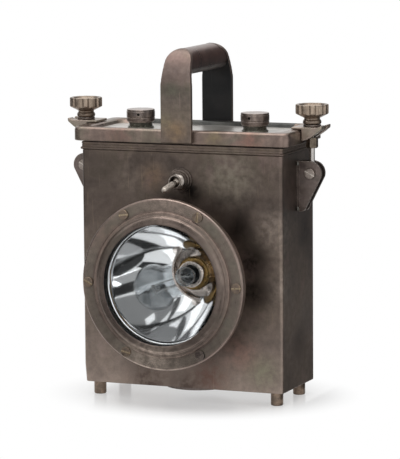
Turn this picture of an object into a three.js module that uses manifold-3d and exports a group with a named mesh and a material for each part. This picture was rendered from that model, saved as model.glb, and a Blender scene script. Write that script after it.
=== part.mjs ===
// A portable emergency lamp: a flat metal case for two accumulator cells, with a
// round lamp head on its front and a lid held down by two swing bolts.
// Units are millimetres, +Z is up, and the lamp shines towards -Y.
// The origin lies on the floor, under the middle of the whole object.

import * as THREE from 'three';
import { mergeVertices } from 'three/addons/utils/BufferGeometryUtils.js';
import Module from 'manifold-3d';

const wasm = await Module();
wasm.setup();

// Clearances and modelling values

const seatGap = 0.3;
const runningGap = 0.4;
const cutOverrun = 5;
const weldTolerance = 0.001;
const roundSegments = 36;
const middleSegments = 18;
const smallSegments = 12;
const holeSegments = 8;
const cornerSegments = 4;
const roundingShare = 0.3;

// Case

const caseWidth = 200;
const caseDepth = 84;
const caseHeight = 220;
const caseWall = 2.5;
const caseEdgeRadius = 3;
const footHeight = 13;
const footRadius = 5.8;
const footRounding = 1.4;
const footInsetX = 10.5;
const footInsetY = 12.8;
const baseDiscRadius = 33;
const baseDiscThickness = 3.7;
const baseDiscChamfer = 0.8;

// Neck band and its gasket, on top of the case

const bandHeight = 7.3;
const bandStandOut = 0.7;
const bandLipStandOut = 1.6;
const bandLipHeight = 2.1;
const bandLipChamfer = 0.8;
const bandLedge = 8;
const bandLedgeThickness = 2.6;
const bandSpigotDepth = 5;
const bandSpigotWall = 2;
const lidGasketThickness = 0.7;
const lidGasketInset = 1.4;

// Lid

const lidOverhang = 6;
const lidEndOverhang = 7.5;
const lidHeight = 13.1;
const lidCornerRadius = 9;
const lidRimRounding = 3;
const lidRimWidth = 9.5;
const lidEndRimWidth = 14;
const lidTrayDepth = 4;
const lidTraySlope = 2.5;
const lidFloorThickness = 3.4;

// Handle, which spans the lid from front to back

const handleRise = 74.6;
const handleLegWidth = 30.2;
const handleLegThickness = 5;
const handleLegLift = 1.2;
const handleTopRadius = 13;
const handleShoulder = 33.5;
const handleSweep = 20;
const handleSweepSteps = 7;
const handleSweepShares = { rise: 0.45, reach: 0.5 };
const gripWidth = 25;
const gripHeight = 24.5;
const gripCornerRadius = 10;

// Vent necks and caps

const ventX = 57.6;
const ventNeckRadius = 11.3;
const ventNeckBore = 6;
const ventNeckHeight = 13;
const ventNeckDrop = 8;
const ventThreadDepth = 0.7;
const ventThreadPitch = 2.9;
const ventThreadCrestShare = 0.5;
const ventFlangeRadius = 12.4;
const ventFlangeThickness = 1;
const ventCapRadius = 13.4;
const ventCapHeight = 12;
const ventCapGap = 4.2;
const ventCapRoof = 2.2;
const ventCapGroove = 0.6;
const ventCapGrooveDrop = 7.5;
const ventCapChamfer = 1.6;
const ventHoleRadius = 1.15;
const ventHoleDrop = 4.4;
const ventHoleTurnLeft = THREE.MathUtils.degToRad(13);
const ventHoleTurnRight = THREE.MathUtils.degToRad(-3);

// Clamps: lug, bracket, swing bolt, washer and thumb nut at each end

const boltOffset = 14;
const boltRadius = 2.5;
const pinDrop = 43.2;
const pinRadius = 2.4;
const lugWidth = 25.5;
const lugPad = 9.5;
const lugPadThickness = 2.2;
const lugRootHeight = 12.7;
const lugTipReach = 13.7;
const lugLipRise = 1.6;
const lugBendShares = [0.36, 0.97];
const lugLipFootShares = [0.07, 0.13];
const lugLipShares = [[0, 0.65], [0.12, 1], [0.33, 0.9]];
const lugPlateThickness = 3.2;
const lugSlotClearance = 0.7;
const lugChamfer = 0.6;
const stopNutFlats = 11;
const stopNutHeight = 9.7;
const stopNutDrop = 10.2;
const stopNutClearance = 0.8;
const eyeRadius = 6.2;
const eyeThickness = 6;
const earThickness = 2.5;
const earRadius = 11;
const earTop = 11.2;
const earFoot = 35.6;
const earFootReach = 3;
const earFootRadius = 5;
const earFootBendShares = [1.8, 0.1];
const earWaistShares = [0.94, 0.34];
const earShoulderShare = 0.1;
const earArcStart = THREE.MathUtils.degToRad(-20);
const earArcEnd = THREE.MathUtils.degToRad(73);
const bracketBack = 2.5;
const pinHeadRadius = 5.1;
const pinHeadThickness = 2.6;
const pinHeadRounding = 0.9;
const pinSlotWidth = 1.3;
const pinSlotDepth = 1.2;
const pinNutFlats = 8.5;
const pinNutThickness = 3.4;
const washerRadius = 8.3;
const washerThickness = 1.5;
const washerRounding = 0.5;
const nutBaseRadius = 8.8;
const nutBaseHeight = 4.6;
const nutBaseRounding = 1.2;
const nutBaseCrown = 1.9;
const nutBaseCrownShare = 0.98;
const nutWaistRadius = 7.3;
const nutWaistHeight = 1.2;
const nutChamferHeight = 4.2;
const nutHeadRadius = 15.3;
const nutHeadHeight = 8.4;
const nutHeadRounding = 0.7;
const nutDishRadius = 12;
const nutDishFloorShare = 0.9;
const nutDishDepth = 2.2;
const nutLobes = 12;
const nutLobeSteps = 4;
const nutFluteDepth = 1.5;
const nutTurn = THREE.MathUtils.degToRad(-7.7);
const boltEndAboveDish = 0.8;

// Lamp head; lengths along its axis are measured forward from the case front

const lampHeight = 103.6;
const barrelRadius = 62;
const barrelWall = 2.5;
const barrelLength = 42;
const barrelFlangeWidth = 17.2;
const barrelFlangeThickness = 3.4;
const bezelStandOut = 0.5;
const bezelFlangeWidth = 12.5;
const bezelThickness = 5;
const bezelEdgeRounding = 2.2;
const collarStep = 1.5;
const collarRise = 5.4;
const bezelOverlap = 0.8;
const bezelLipThickness = 4.6;
const lensLap = 3.9;
const lensThickness = 4;
const lensGasketThickness = 1.3;
const lensGasketWidth = 3.6;
const bezelScrewCount = 6;
const bezelScrewTurn = THREE.MathUtils.degToRad(0.5);
const bezelScrewMargin = 1.5;
const bezelScrewHeadThickness = 1.5;
const bezelScrewRounding = 0.6;
const bezelScrewRadius = 2;
const bezelScrewSlotWidth = 1.2;
const bezelScrewSlotDepth = 0.9;
const bezelScrewReach = 9;
const bezelScrewSlotAngles = [2, 82, 8, -27, -12, 40].map(THREE.MathUtils.degToRad);
const reflectorClearance = 0.2;
const reflectorDepth = 78;
const reflectorWall = 1.2;
const reflectorRimWidth = 2.8;
const reflectorSteps = 5;
const reflectorHoleRadius = 14.5;
const frontHoleClearance = 4.4;
const socketCollarThickness = 2;
const socketStandOff = 2.4;
const socketBodyRadius = 11;
const socketWall = 1.6;
const socketLength = 26;
const bulbRadius = 11.4;
const bulbLength = 33;
const bulbNeckRadius = 6.6;
const bulbSteps = 6;
const bulbCapRadius = 7.4;
const bulbCapLength = 18;
const bulbCapFlange = 8.8;
const bulbCapFlangeThickness = 1;

// Toggle switch, on the front above the lamp head

const switchHeight = 195;
const switchPlateRadius = 11.4;
const switchPlateThickness = 1.4;
const switchNutFlats = 16.5;
const switchNutThickness = 5;
const bushingRadius = 6.3;
const bushingLength = 15;
const bushingWall = 1.1;
const bushingSocketDepth = 11.5;
const switchBodyWidth = 24;
const switchBodyHeight = 21;
const switchBodyDepth = 22;
const switchHoleRadius = 6.8;
const leverPivotDepth = 7;
const leverThrow = THREE.MathUtils.degToRad(20);
const leverTurn = THREE.MathUtils.degToRad(-35);
const leverLength = 25;
const leverRootRadius = 1.9;
const leverTipRadius = 2.7;
const leverBallRadius = 4.3;

// Cells and wiring inside the case

const cellHeight = 178;
const cellEdgeRadius = 3;
const cellEndClearance = 1.5;
const cellSideClearance = 2.5;
const cellHeadClearance = 1;
const fillerRadius = 8;
const fillerHeight = 10;
const postRadius = 3;
const postHeight = 9;
const postInset = 9;
const linkThickness = 3;
const linkEndRadius = 6;
const leadRadius = 1.5;
const leadSides = 3;
const leadSteps = 13;

// Levels and places worked out from the sizes above

const caseTopZ = footHeight + caseHeight;
const bandBottomZ = caseTopZ + seatGap;
const bandTopZ = bandBottomZ + bandHeight;
const lidGasketBottomZ = bandTopZ + seatGap;
const lidBottomZ = lidGasketBottomZ + lidGasketThickness + seatGap;
const lidTopZ = lidBottomZ + lidHeight;
const lidFloorZ = lidTopZ - lidTrayDepth;
const lidHalfX = caseWidth / 2 + lidEndOverhang;
const lidHalfY = caseDepth / 2 + lidOverhang;
const handleTopZ = lidTopZ + handleRise;
const handleBottomZ = lidBottomZ + handleLegLift;
const handleInnerY = lidHalfY + seatGap;
const handleOuterY = handleInnerY + handleLegThickness;
const handleShoulderZ = handleTopZ - handleShoulder;
const lugSeatZ = lidTopZ + seatGap + lugPadThickness;
const boltX = caseWidth / 2 + boltOffset;
const pinZ = lugSeatZ - pinDrop;
const lampZ = footHeight + lampHeight;
const switchZ = footHeight + switchHeight;
const barrelBore = barrelRadius - barrelWall;
const barrelFlangeRadius = barrelRadius + barrelFlangeWidth;
const bezelRadius = barrelFlangeRadius + bezelStandOut;
const collarRadius = bezelRadius - bezelFlangeWidth;
const reflectorRimRadius = barrelBore - reflectorClearance - reflectorRimWidth;
const bezelOpeningRadius = reflectorRimRadius - bezelOverlap;
const lensRadius = bezelOpeningRadius + lensLap;
const bezelBack = barrelLength + seatGap;
const bezelFace = bezelBack + bezelThickness;
const bezelLip = bezelFace + collarRise;
const lensSeat = bezelLip - bezelLipThickness;
const lensFront = lensSeat - lensGasketThickness - 2 * seatGap;
const lensBack = lensFront - lensThickness;
const reflectorRim = lensBack - seatGap;
const reflectorApex = reflectorRim - reflectorDepth;
const reflectorEntryShare = Math.sqrt(Math.max(-reflectorApex / reflectorDepth, 0));
const reflectorEntryRadius = reflectorRimRadius * reflectorEntryShare + reflectorWall;
const frontHoleRadius = reflectorEntryRadius + frontHoleClearance;
const bezelScrewCircle = (bezelRadius + collarRadius) / 2;
const bezelScrewHeadRadius = (bezelRadius - collarRadius) / 2 - bezelScrewMargin;

// Materials

function finish(color, roughness, metalness) {
  return new THREE.MeshStandardMaterial({ color, roughness, metalness });
}

const paintedSteel = () => finish('#5f5750', 0.55, 0.4);
const castMetal = () => finish('#6f655f', 0.5, 0.5);
const handlePaint = () => finish('#75685f', 0.5, 0.3);
const agedBrass = () => finish('#8d7a63', 0.4, 0.9);
const darkSteel = () => finish('#4a4643', 0.5, 0.7);
const brightSteel = () => finish('#b5b0ac', 0.3, 0.9);
const blackRubber = () => finish('#1c1b1a', 0.8, 0);
const glass = () => finish('#dfe7ea', 0.05, 0);
const chrome = () => finish('#c9ccd0', 0.1, 1);
const ebonite = () => finish('#262524', 0.5, 0);

// Geometry helpers

function signedVolume(geometry) {
  const place = geometry.getAttribute('position');
  const index = geometry.index.array;
  const a = new THREE.Vector3();
  const b = new THREE.Vector3();
  const c = new THREE.Vector3();
  let sum = 0;
  for (let i = 0; i < index.length; i += 3) {
    a.fromBufferAttribute(place, index[i]);
    b.fromBufferAttribute(place, index[i + 1]);
    c.fromBufferAttribute(place, index[i + 2]);
    sum += a.dot(b.cross(c));
  }
  return sum;
}

// One closed skin: shared corners merged, slivers dropped, faces outward.
function welded(geometry) {
  const bare = new THREE.BufferGeometry();
  bare.setAttribute('position', geometry.getAttribute('position'));
  if (geometry.index) bare.setIndex(geometry.index);
  const merged = mergeVertices(bare, weldTolerance);
  const index = merged.index.array;
  const kept = [];
  for (let i = 0; i < index.length; i += 3) {
    const corners = [index[i], index[i + 1], index[i + 2]];
    if (new Set(corners).size === 3) kept.push(...corners);
  }
  merged.setIndex(kept);
  if (signedVolume(merged) < 0) merged.setIndex(kept.reverse());
  return merged;
}

function solidOf(geometry) {
  const skin = welded(geometry);
  const vertProperties = new Float32Array(skin.getAttribute('position').array);
  const triVerts = new Uint32Array(skin.index.array);
  return new wasm.Manifold(new wasm.Mesh({ numProp: 3, vertProperties, triVerts }));
}

function geometryOf(solid) {
  const mesh = solid.getMesh();
  const geometry = new THREE.BufferGeometry();
  geometry.setAttribute('position', new THREE.BufferAttribute(mesh.vertProperties, 3));
  geometry.setIndex(new THREE.BufferAttribute(mesh.triVerts, 1));
  return geometry;
}

function cut(geometry, ...tools) {
  return geometryOf(tools.reduce((body, tool) => body.subtract(solidOf(tool)), solidOf(geometry)));
}

function join(geometry, ...others) {
  return geometryOf(others.reduce((body, other) => body.add(solidOf(other)), solidOf(geometry)));
}

function common(geometry, other) {
  return geometryOf(solidOf(geometry).intersect(solidOf(other)));
}

// A profile of [radius, height] pairs turned about the Z axis.
function turned(profile, segments = roundSegments) {
  const points = profile.map(([radius, height]) => new THREE.Vector2(radius, height));
  if (profile[0][0] > 0) points.push(points[0].clone());
  return new THREE.LatheGeometry(points, segments).rotateX(Math.PI / 2);
}

function rod(radius, bottom, top, segments = smallSegments) {
  return turned([[0, bottom], [radius, bottom], [radius, top], [0, top]], segments);
}

function tube(inner, outer, bottom, top, segments = roundSegments) {
  return turned([[inner, bottom], [outer, bottom], [outer, top], [inner, top]], segments);
}

function block(sizeX, sizeY, sizeZ, x, y, z) {
  return new THREE.BoxGeometry(sizeX, sizeY, sizeZ).translate(x, y, z);
}

function extruded(shape, depth, curveSegments = cornerSegments) {
  return new THREE.ExtrudeGeometry(shape, { depth, bevelEnabled: false, curveSegments });
}

// A shape drawn in X and Z, given a thickness along Y and centred on middleY.
function uprightAlongY(shape, thickness, middleY = 0, curveSegments = cornerSegments) {
  const geometry = extruded(shape, thickness, curveSegments).rotateX(Math.PI / 2);
  return geometry.translate(0, middleY + thickness / 2, 0);
}

// A shape drawn in Y and Z, given a thickness along X and centred on X zero.
function uprightAlongX(shape, thickness, curveSegments = cornerSegments) {
  const turn = new THREE.Matrix4().makeBasis(
    new THREE.Vector3(0, 1, 0),
    new THREE.Vector3(0, 0, 1),
    new THREE.Vector3(1, 0, 0),
  );
  const geometry = extruded(shape, thickness, curveSegments).applyMatrix4(turn);
  return geometry.translate(-thickness / 2, 0, 0);
}

function hexagon(flats) {
  const shape = new THREE.Shape();
  const corner = flats / Math.sqrt(3);
  for (let i = 0; i < 6; i += 1) {
    const angle = (i * Math.PI) / 3;
    shape.lineTo(corner * Math.cos(angle), corner * Math.sin(angle));
  }
  shape.closePath();
  return shape;
}

function hexNut(flats, height, bore) {
  const corner = flats / Math.sqrt(3);
  const bevel = corner - flats / 2;
  const envelope = turned([
    [bore, 0],
    [flats / 2, 0],
    [corner, bevel],
    [corner, height - bevel],
    [flats / 2, height],
    [bore, height],
  ], smallSegments);
  return common(extruded(hexagon(flats), height), envelope);
}

// One loop of a rounded rectangle in the plane at height z.
function roundedLoop(halfX, halfY, radius, z) {
  const loop = [];
  const corners = [[1, 1, 0], [-1, 1, 1], [-1, -1, 2], [1, -1, 3]];
  for (const [signX, signY, quarter] of corners) {
    for (let i = 0; i <= cornerSegments; i += 1) {
      const angle = (quarter + i / cornerSegments) * (Math.PI / 2);
      const x = signX * (halfX - radius) + radius * Math.cos(angle);
      const y = signY * (halfY - radius) + radius * Math.sin(angle);
      loop.push(new THREE.Vector3(x, y, z));
    }
  }
  return loop;
}

// A skin through loops of equal count: capped at both ends, or closed on itself.
function lofted(loops, capped) {
  const count = loops[0].length;
  const positions = loops.flat().flatMap((point) => [point.x, point.y, point.z]);
  const index = [];
  const bands = capped ? loops.length - 1 : loops.length;
  for (let band = 0; band < bands; band += 1) {
    const lower = band * count;
    const upper = ((band + 1) % loops.length) * count;
    for (let i = 0; i < count; i += 1) {
      const next = (i + 1) % count;
      index.push(lower + i, lower + next, upper + next, lower + i, upper + next, upper + i);
    }
  }
  if (capped) {
    const last = (loops.length - 1) * count;
    for (let i = 1; i < count - 1; i += 1) {
      index.push(0, i + 1, i);
      index.push(last, last + i, last + i + 1);
    }
  }
  const geometry = new THREE.BufferGeometry();
  geometry.setAttribute('position', new THREE.Float32BufferAttribute(positions, 3));
  geometry.setIndex(index);
  return geometry;
}

// The assembly

const lamp = new THREE.Group();

function addPiece(parent, name, geometry, material) {
  const mesh = new THREE.Mesh(welded(geometry), material);
  mesh.name = name;
  parent.add(mesh);
  return mesh;
}

// Case shell, feet and base disc

function caseShell() {
  const halfX = caseWidth / 2;
  const halfY = caseDepth / 2;
  const innerRadius = Math.max(caseEdgeRadius - caseWall, caseEdgeRadius / 4);
  const floorZ = footHeight + caseWall;
  const shell = lofted([
    roundedLoop(halfX, halfY, caseEdgeRadius, footHeight),
    roundedLoop(halfX, halfY, caseEdgeRadius, caseTopZ),
    roundedLoop(halfX - caseWall, halfY - caseWall, innerRadius, caseTopZ),
    roundedLoop(halfX - caseWall, halfY - caseWall, innerRadius, floorZ),
  ], true);
  const lampHole = rod(frontHoleRadius, -cutOverrun, cutOverrun, roundSegments)
    .rotateX(Math.PI / 2)
    .translate(0, -halfY, lampZ);
  const switchHole = rod(switchHoleRadius, -cutOverrun, cutOverrun)
    .rotateX(Math.PI / 2)
    .translate(0, -halfY, switchZ);
  return cut(shell, lampHole, switchHole);
}

function foot() {
  const top = footHeight - seatGap;
  return turned([
    [0, 0],
    [footRadius - footRounding, 0],
    [footRadius - footRounding * roundingShare, footRounding * roundingShare],
    [footRadius, footRounding],
    [footRadius, top],
    [0, top],
  ], smallSegments);
}

function baseDisc() {
  const top = footHeight - seatGap;
  const bottom = top - baseDiscThickness;
  return turned([
    [0, bottom],
    [baseDiscRadius - baseDiscChamfer, bottom],
    [baseDiscRadius, bottom + baseDiscChamfer],
    [baseDiscRadius, top],
    [0, top],
  ]);
}

addPiece(lamp, 'case_shell', caseShell(), paintedSteel());
addPiece(lamp, 'base_disc', baseDisc(), darkSteel());

for (const [sideName, signY] of [['front', -1], ['rear', 1]]) {
  for (const [endName, signX] of [['left', -1], ['right', 1]]) {
    const piece = addPiece(lamp, `foot_${sideName}_${endName}`, foot(), darkSteel());
    piece.position.x = signX * (caseWidth / 2 - footInsetX);
    piece.position.y = signY * (caseDepth / 2 - footInsetY);
  }
}

// Neck band, which closes the top of the case, and the gasket on it

function bandLoop(standOut, z) {
  const radius = Math.max(caseEdgeRadius + standOut, caseEdgeRadius / 4);
  return roundedLoop(caseWidth / 2 + standOut, caseDepth / 2 + standOut, radius, z);
}

function neckBand() {
  const spigotOuter = -caseWall - seatGap;
  const spigotInner = spigotOuter - bandSpigotWall;
  const ledgeBottomZ = bandTopZ - bandLedgeThickness;
  return lofted([
    bandLoop(0, bandBottomZ),
    bandLoop(bandLipStandOut, bandBottomZ + bandLipChamfer),
    bandLoop(bandLipStandOut, bandBottomZ + bandLipHeight),
    bandLoop(bandStandOut, bandBottomZ + bandLipHeight + bandLipChamfer),
    bandLoop(bandStandOut, bandTopZ),
    bandLoop(-bandLedge, bandTopZ),
    bandLoop(-bandLedge, ledgeBottomZ),
    bandLoop(spigotInner, ledgeBottomZ),
    bandLoop(spigotInner, caseTopZ - bandSpigotDepth),
    bandLoop(spigotOuter, caseTopZ - bandSpigotDepth),
    bandLoop(spigotOuter, bandBottomZ),
  ], false);
}

function lidGasket() {
  const top = lidGasketBottomZ + lidGasketThickness;
  const outer = bandStandOut - lidGasketInset;
  const inner = lidGasketInset - bandLedge;
  return lofted([
    bandLoop(outer, lidGasketBottomZ),
    bandLoop(outer, top),
    bandLoop(inner, top),
    bandLoop(inner, lidGasketBottomZ),
  ], false);
}

addPiece(lamp, 'neck_band', neckBand(), paintedSteel());
addPiece(lamp, 'lid_gasket', lidGasket(), blackRubber());

// Lid: a shallow tray with a rounded rim, wider at the two ends

function lidLoop(insetX, insetY, z) {
  const radius = Math.max(lidCornerRadius - (insetX + insetY) / 2, lidCornerRadius / 4);
  return roundedLoop(lidHalfX - insetX, lidHalfY - insetY, radius, z);
}

function trayLoop(inset, z) {
  return roundedLoop(
    lidHalfX - lidEndRimWidth - inset,
    lidHalfY - lidRimWidth - inset,
    lidCornerRadius,
    z,
  );
}

function lidBody() {
  const underZ = lidFloorZ - lidFloorThickness;
  const pocketX = lidEndOverhang + bandLedge;
  const pocketY = lidOverhang + bandLedge;
  const loops = [lidLoop(pocketX, pocketY, underZ), lidLoop(pocketX, pocketY, lidBottomZ)];
  loops.push(lidLoop(0, 0, lidBottomZ));
  const roundingSteps = 4;
  for (let i = 0; i <= roundingSteps; i += 1) {
    const angle = (i / roundingSteps) * (Math.PI / 2);
    const inset = lidRimRounding * (1 - Math.cos(angle));
    loops.push(lidLoop(inset, inset, lidTopZ - lidRimRounding * (1 - Math.sin(angle))));
  }
  loops.push(trayLoop(-lidTraySlope, lidTopZ));
  loops.push(trayLoop(-lidTraySlope / 2, lidTopZ - lidTrayDepth / 4));
  loops.push(trayLoop(0, lidFloorZ));
  const holes = [-1, 1].map((sign) => rod(
    ventNeckRadius - ventThreadDepth,
    underZ - cutOverrun,
    lidTopZ + cutOverrun,
    middleSegments,
  ).translate(sign * ventX, 0, 0));
  return cut(lofted(loops, true), ...holes);
}

addPiece(lamp, 'lid', lidBody(), castMetal());

// Handle: two bent straps and the grip that they carry

// The sweep of a strap towards the grip, as [distance inward, height] pairs.
function sweepCurve(startZ, endZ, reach) {
  const rise = endZ - startZ;
  const curve = new THREE.CubicBezierCurve(
    new THREE.Vector2(0, startZ),
    new THREE.Vector2(0, startZ + rise * handleSweepShares.rise),
    new THREE.Vector2(reach * handleSweepShares.reach, endZ),
    new THREE.Vector2(reach, endZ),
  );
  return curve.getPoints(handleSweepSteps);
}

function strapOutline() {
  const outer = sweepCurve(handleShoulderZ, handleTopZ, handleSweep);
  const inner = sweepCurve(
    handleShoulderZ,
    handleTopZ - handleLegThickness,
    handleSweep - handleLegThickness,
  );
  const shape = new THREE.Shape();
  shape.moveTo(-handleOuterY, handleBottomZ);
  for (const point of outer) shape.lineTo(point.x - handleOuterY, point.y);
  for (const point of inner.reverse()) shape.lineTo(point.x - handleInnerY, point.y);
  shape.lineTo(-handleInnerY, handleBottomZ);
  shape.closePath();
  return shape;
}

function tombstone() {
  const half = handleLegWidth / 2;
  const shape = new THREE.Shape();
  shape.moveTo(-half, handleBottomZ - cutOverrun);
  shape.lineTo(half, handleBottomZ - cutOverrun);
  shape.lineTo(half, handleShoulderZ);
  shape.lineTo(handleTopRadius, handleTopZ - handleTopRadius);
  shape.absarc(0, handleTopZ - handleTopRadius, handleTopRadius, 0, Math.PI, false);
  shape.lineTo(-half, handleShoulderZ);
  shape.closePath();
  return shape;
}

function handleStrap() {
  const strap = uprightAlongX(strapOutline(), handleLegWidth + 2 * cutOverrun);
  const face = uprightAlongY(tombstone(), 2 * handleOuterY + 2 * cutOverrun, 0, 10);
  return common(strap, face);
}

function gripSection() {
  const half = gripWidth / 2;
  const top = handleTopZ - seatGap;
  const bottom = top - gripHeight;
  const shape = new THREE.Shape();
  shape.moveTo(gripCornerRadius - half, bottom);
  shape.lineTo(half - gripCornerRadius, bottom);
  shape.quadraticCurveTo(half, bottom, half, bottom + gripCornerRadius);
  shape.lineTo(half, top - half);
  shape.absarc(0, top - half, half, 0, Math.PI, false);
  shape.lineTo(-half, bottom + gripCornerRadius);
  shape.quadraticCurveTo(-half, bottom, gripCornerRadius - half, bottom);
  return shape;
}

// The room between the straps, which the ends of the grip follow.
function gripRoom() {
  const inner = sweepCurve(
    handleShoulderZ,
    handleTopZ - handleLegThickness,
    handleSweep - handleLegThickness,
  );
  const wall = handleInnerY - 2 * seatGap;
  const edge = wall - (handleSweep - handleLegThickness);
  const shape = new THREE.Shape();
  shape.moveTo(-wall, handleShoulderZ - cutOverrun);
  for (const point of inner) shape.lineTo(point.x - wall, point.y - seatGap);
  shape.lineTo(-edge, handleTopZ + cutOverrun);
  shape.lineTo(edge, handleTopZ + cutOverrun);
  for (const point of inner.reverse()) shape.lineTo(wall - point.x, point.y - seatGap);
  shape.lineTo(wall, handleShoulderZ - cutOverrun);
  shape.closePath();
  return shape;
}

function handleGrip() {
  const bar = uprightAlongY(gripSection(), 2 * handleOuterY, 0, 10);
  return common(bar, uprightAlongX(gripRoom(), handleLegWidth + 2 * cutOverrun));
}

addPiece(lamp, 'handle_front_leg', handleStrap(), handlePaint());
const rearLeg = addPiece(lamp, 'handle_rear_leg', handleStrap(), handlePaint());
rearLeg.rotation.z = Math.PI;
addPiece(lamp, 'handle_grip', handleGrip(), handlePaint());

// Vent necks through the lid, with a screw cap on each

function ventNeck() {
  const bottom = lidFloorZ - lidFloorThickness - ventNeckDrop;
  const flangeTop = lidFloorZ + seatGap + ventFlangeThickness;
  const top = lidFloorZ + ventNeckHeight;
  const body = ventNeckRadius - ventThreadDepth - seatGap;
  const profile = [
    [ventNeckBore, bottom],
    [body, bottom],
    [body, lidFloorZ + seatGap],
    [ventFlangeRadius, lidFloorZ + seatGap],
    [ventFlangeRadius, flangeTop],
    [ventNeckRadius - ventThreadDepth, flangeTop],
  ];
  const ribs = Math.max(1, Math.floor((top - flangeTop) / ventThreadPitch) - 1);
  for (let i = 0; i < ribs; i += 1) {
    const start = flangeTop + i * ventThreadPitch;
    profile.push([ventNeckRadius, start + ventThreadPitch * ventThreadCrestShare]);
    profile.push([ventNeckRadius - ventThreadDepth, start + ventThreadPitch]);
  }
  profile.push([ventNeckRadius - ventThreadDepth, top], [ventNeckBore, top]);
  return turned(profile, middleSegments);
}

const ventCapBottomZ = lidFloorZ + seatGap + ventFlangeThickness + ventCapGap;
const ventCapTopZ = ventCapBottomZ + ventCapHeight;

function ventCap(holeTurn) {
  const inner = ventNeckRadius + runningGap;
  const roofZ = Math.max(ventCapTopZ - ventCapRoof, lidFloorZ + ventNeckHeight + runningGap);
  const grooveZ = ventCapTopZ - ventCapGrooveDrop;
  const body = turned([
    [0, roofZ],
    [inner, roofZ],
    [inner, ventCapBottomZ],
    [ventCapRadius - ventCapChamfer, ventCapBottomZ],
    [ventCapRadius, ventCapBottomZ + ventCapChamfer],
    [ventCapRadius, grooveZ - ventCapGroove],
    [ventCapRadius - ventCapGroove, grooveZ],
    [ventCapRadius, grooveZ + ventCapGroove],
    [ventCapRadius, ventCapTopZ - ventCapGroove],
    [ventCapRadius - ventCapGroove, ventCapTopZ],
    [0, ventCapTopZ],
  ], middleSegments);
  const hole = rod(ventHoleRadius, 0, ventCapRadius + cutOverrun)
    .rotateX(Math.PI / 2)
    .translate(0, -inner + ventCapGroove, ventCapTopZ - ventHoleDrop)
    .rotateZ(holeTurn);
  return cut(body, hole);
}

for (const [sideName, sign] of [['left', -1], ['right', 1]]) {
  const neck = addPiece(lamp, `vent_neck_${sideName}`, ventNeck(), darkSteel());
  neck.position.x = sign * ventX;
  const holeTurn = sign < 0 ? ventHoleTurnLeft : ventHoleTurnRight;
  const cap = addPiece(lamp, `vent_cap_${sideName}`, ventCap(holeTurn), darkSteel());
  cap.position.x = sign * ventX;
}

// Clamp at one end: everything is drawn for the right end, with X from the bolt
// axis outward, and the left clamp is the right one turned half round.

const lidEndX = lidHalfX - boltX;
const caseEndX = caseWidth / 2 - boltX;

function lugProfile() {
  const inner = lidEndX + seatGap;
  const seatEnd = nutBaseRadius + runningGap;
  const lipRun = lugTipReach - seatEnd;
  const shape = new THREE.Shape();
  shape.moveTo(lidEndX - lugPad, lugSeatZ - lugPadThickness);
  shape.lineTo(inner, lugSeatZ - lugPadThickness);
  shape.lineTo(inner, lugSeatZ - lugRootHeight);
  shape.quadraticCurveTo(
    inner + (lugTipReach - inner) * lugBendShares[0],
    lugSeatZ - lugRootHeight * lugBendShares[1],
    lugTipReach - lipRun * lugLipFootShares[0],
    lugSeatZ + lugLipRise * lugLipFootShares[1],
  );
  for (const [runShare, riseShare] of lugLipShares) {
    shape.lineTo(lugTipReach - lipRun * runShare, lugSeatZ + lugLipRise * riseShare);
  }
  shape.lineTo(seatEnd, lugSeatZ);
  shape.lineTo(lidEndX - lugPad + lugChamfer, lugSeatZ);
  shape.lineTo(lidEndX - lugPad, lugSeatZ - lugChamfer);
  shape.closePath();
  return shape;
}

const stopNutCorner = stopNutFlats / Math.sqrt(3);

function lug() {
  const body = uprightAlongY(lugProfile(), lugWidth, 0, 8);
  const slotHalf = boltRadius + lugSlotClearance;
  const reach = lugTipReach + cutOverrun;
  const tall = lugRootHeight + lugLipRise + 2 * cutOverrun;
  const middleZ = lugSeatZ - lugRootHeight / 2;
  const slot = block(reach, 2 * slotHalf, tall, reach / 2, 0, middleZ);
  const slotEnd = rod(slotHalf, middleZ - tall / 2, middleZ + tall / 2);
  const channelStart = -stopNutCorner - stopNutClearance;
  const channelTop = lugSeatZ - lugPlateThickness;
  const channelLength = reach - channelStart;
  const channel = block(
    channelLength,
    2 * (stopNutCorner + stopNutClearance),
    lugRootHeight + cutOverrun,
    channelStart + channelLength / 2,
    0,
    channelTop - (lugRootHeight + cutOverrun) / 2,
  );
  return cut(body, slot, slotEnd, channel);
}

function earProfile() {
  const back = caseEndX + seatGap;
  const foot = pinZ - earFoot;
  const shape = new THREE.Shape();
  const top = pinZ + earTop;
  shape.moveTo(back, top);
  shape.lineTo(back, foot);
  shape.lineTo(caseEndX + earFootReach + earFootRadius, foot);
  shape.quadraticCurveTo(
    caseEndX + earFootReach + earFootRadius * earFootBendShares[0],
    foot + earFootRadius * earFootBendShares[1],
    caseEndX + earFootReach + earFootRadius * 2,
    foot + earFootRadius,
  );
  shape.lineTo(earRadius * earWaistShares[0], pinZ - earRadius * earWaistShares[1]);
  shape.absarc(0, pinZ, earRadius, earArcStart, earArcEnd, false);
  shape.lineTo(earRadius * earShoulderShare, top);
  shape.closePath();
  return shape;
}

const earGap = eyeThickness + 2 * runningGap;
const bracketWidth = earGap + 2 * earThickness;

function bracket() {
  const body = uprightAlongY(earProfile(), bracketWidth, 0, 8);
  const slotStart = caseEndX + seatGap + bracketBack;
  const slotLength = earRadius - slotStart + cutOverrun;
  const slot = block(
    slotLength,
    earGap,
    2 * (earFoot + earTop),
    slotStart + slotLength / 2,
    0,
    pinZ,
  );
  const pinHole = rod(pinRadius + seatGap, -bracketWidth, bracketWidth)
    .rotateX(Math.PI / 2)
    .translate(0, 0, pinZ);
  return cut(body, slot, pinHole);
}

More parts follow.
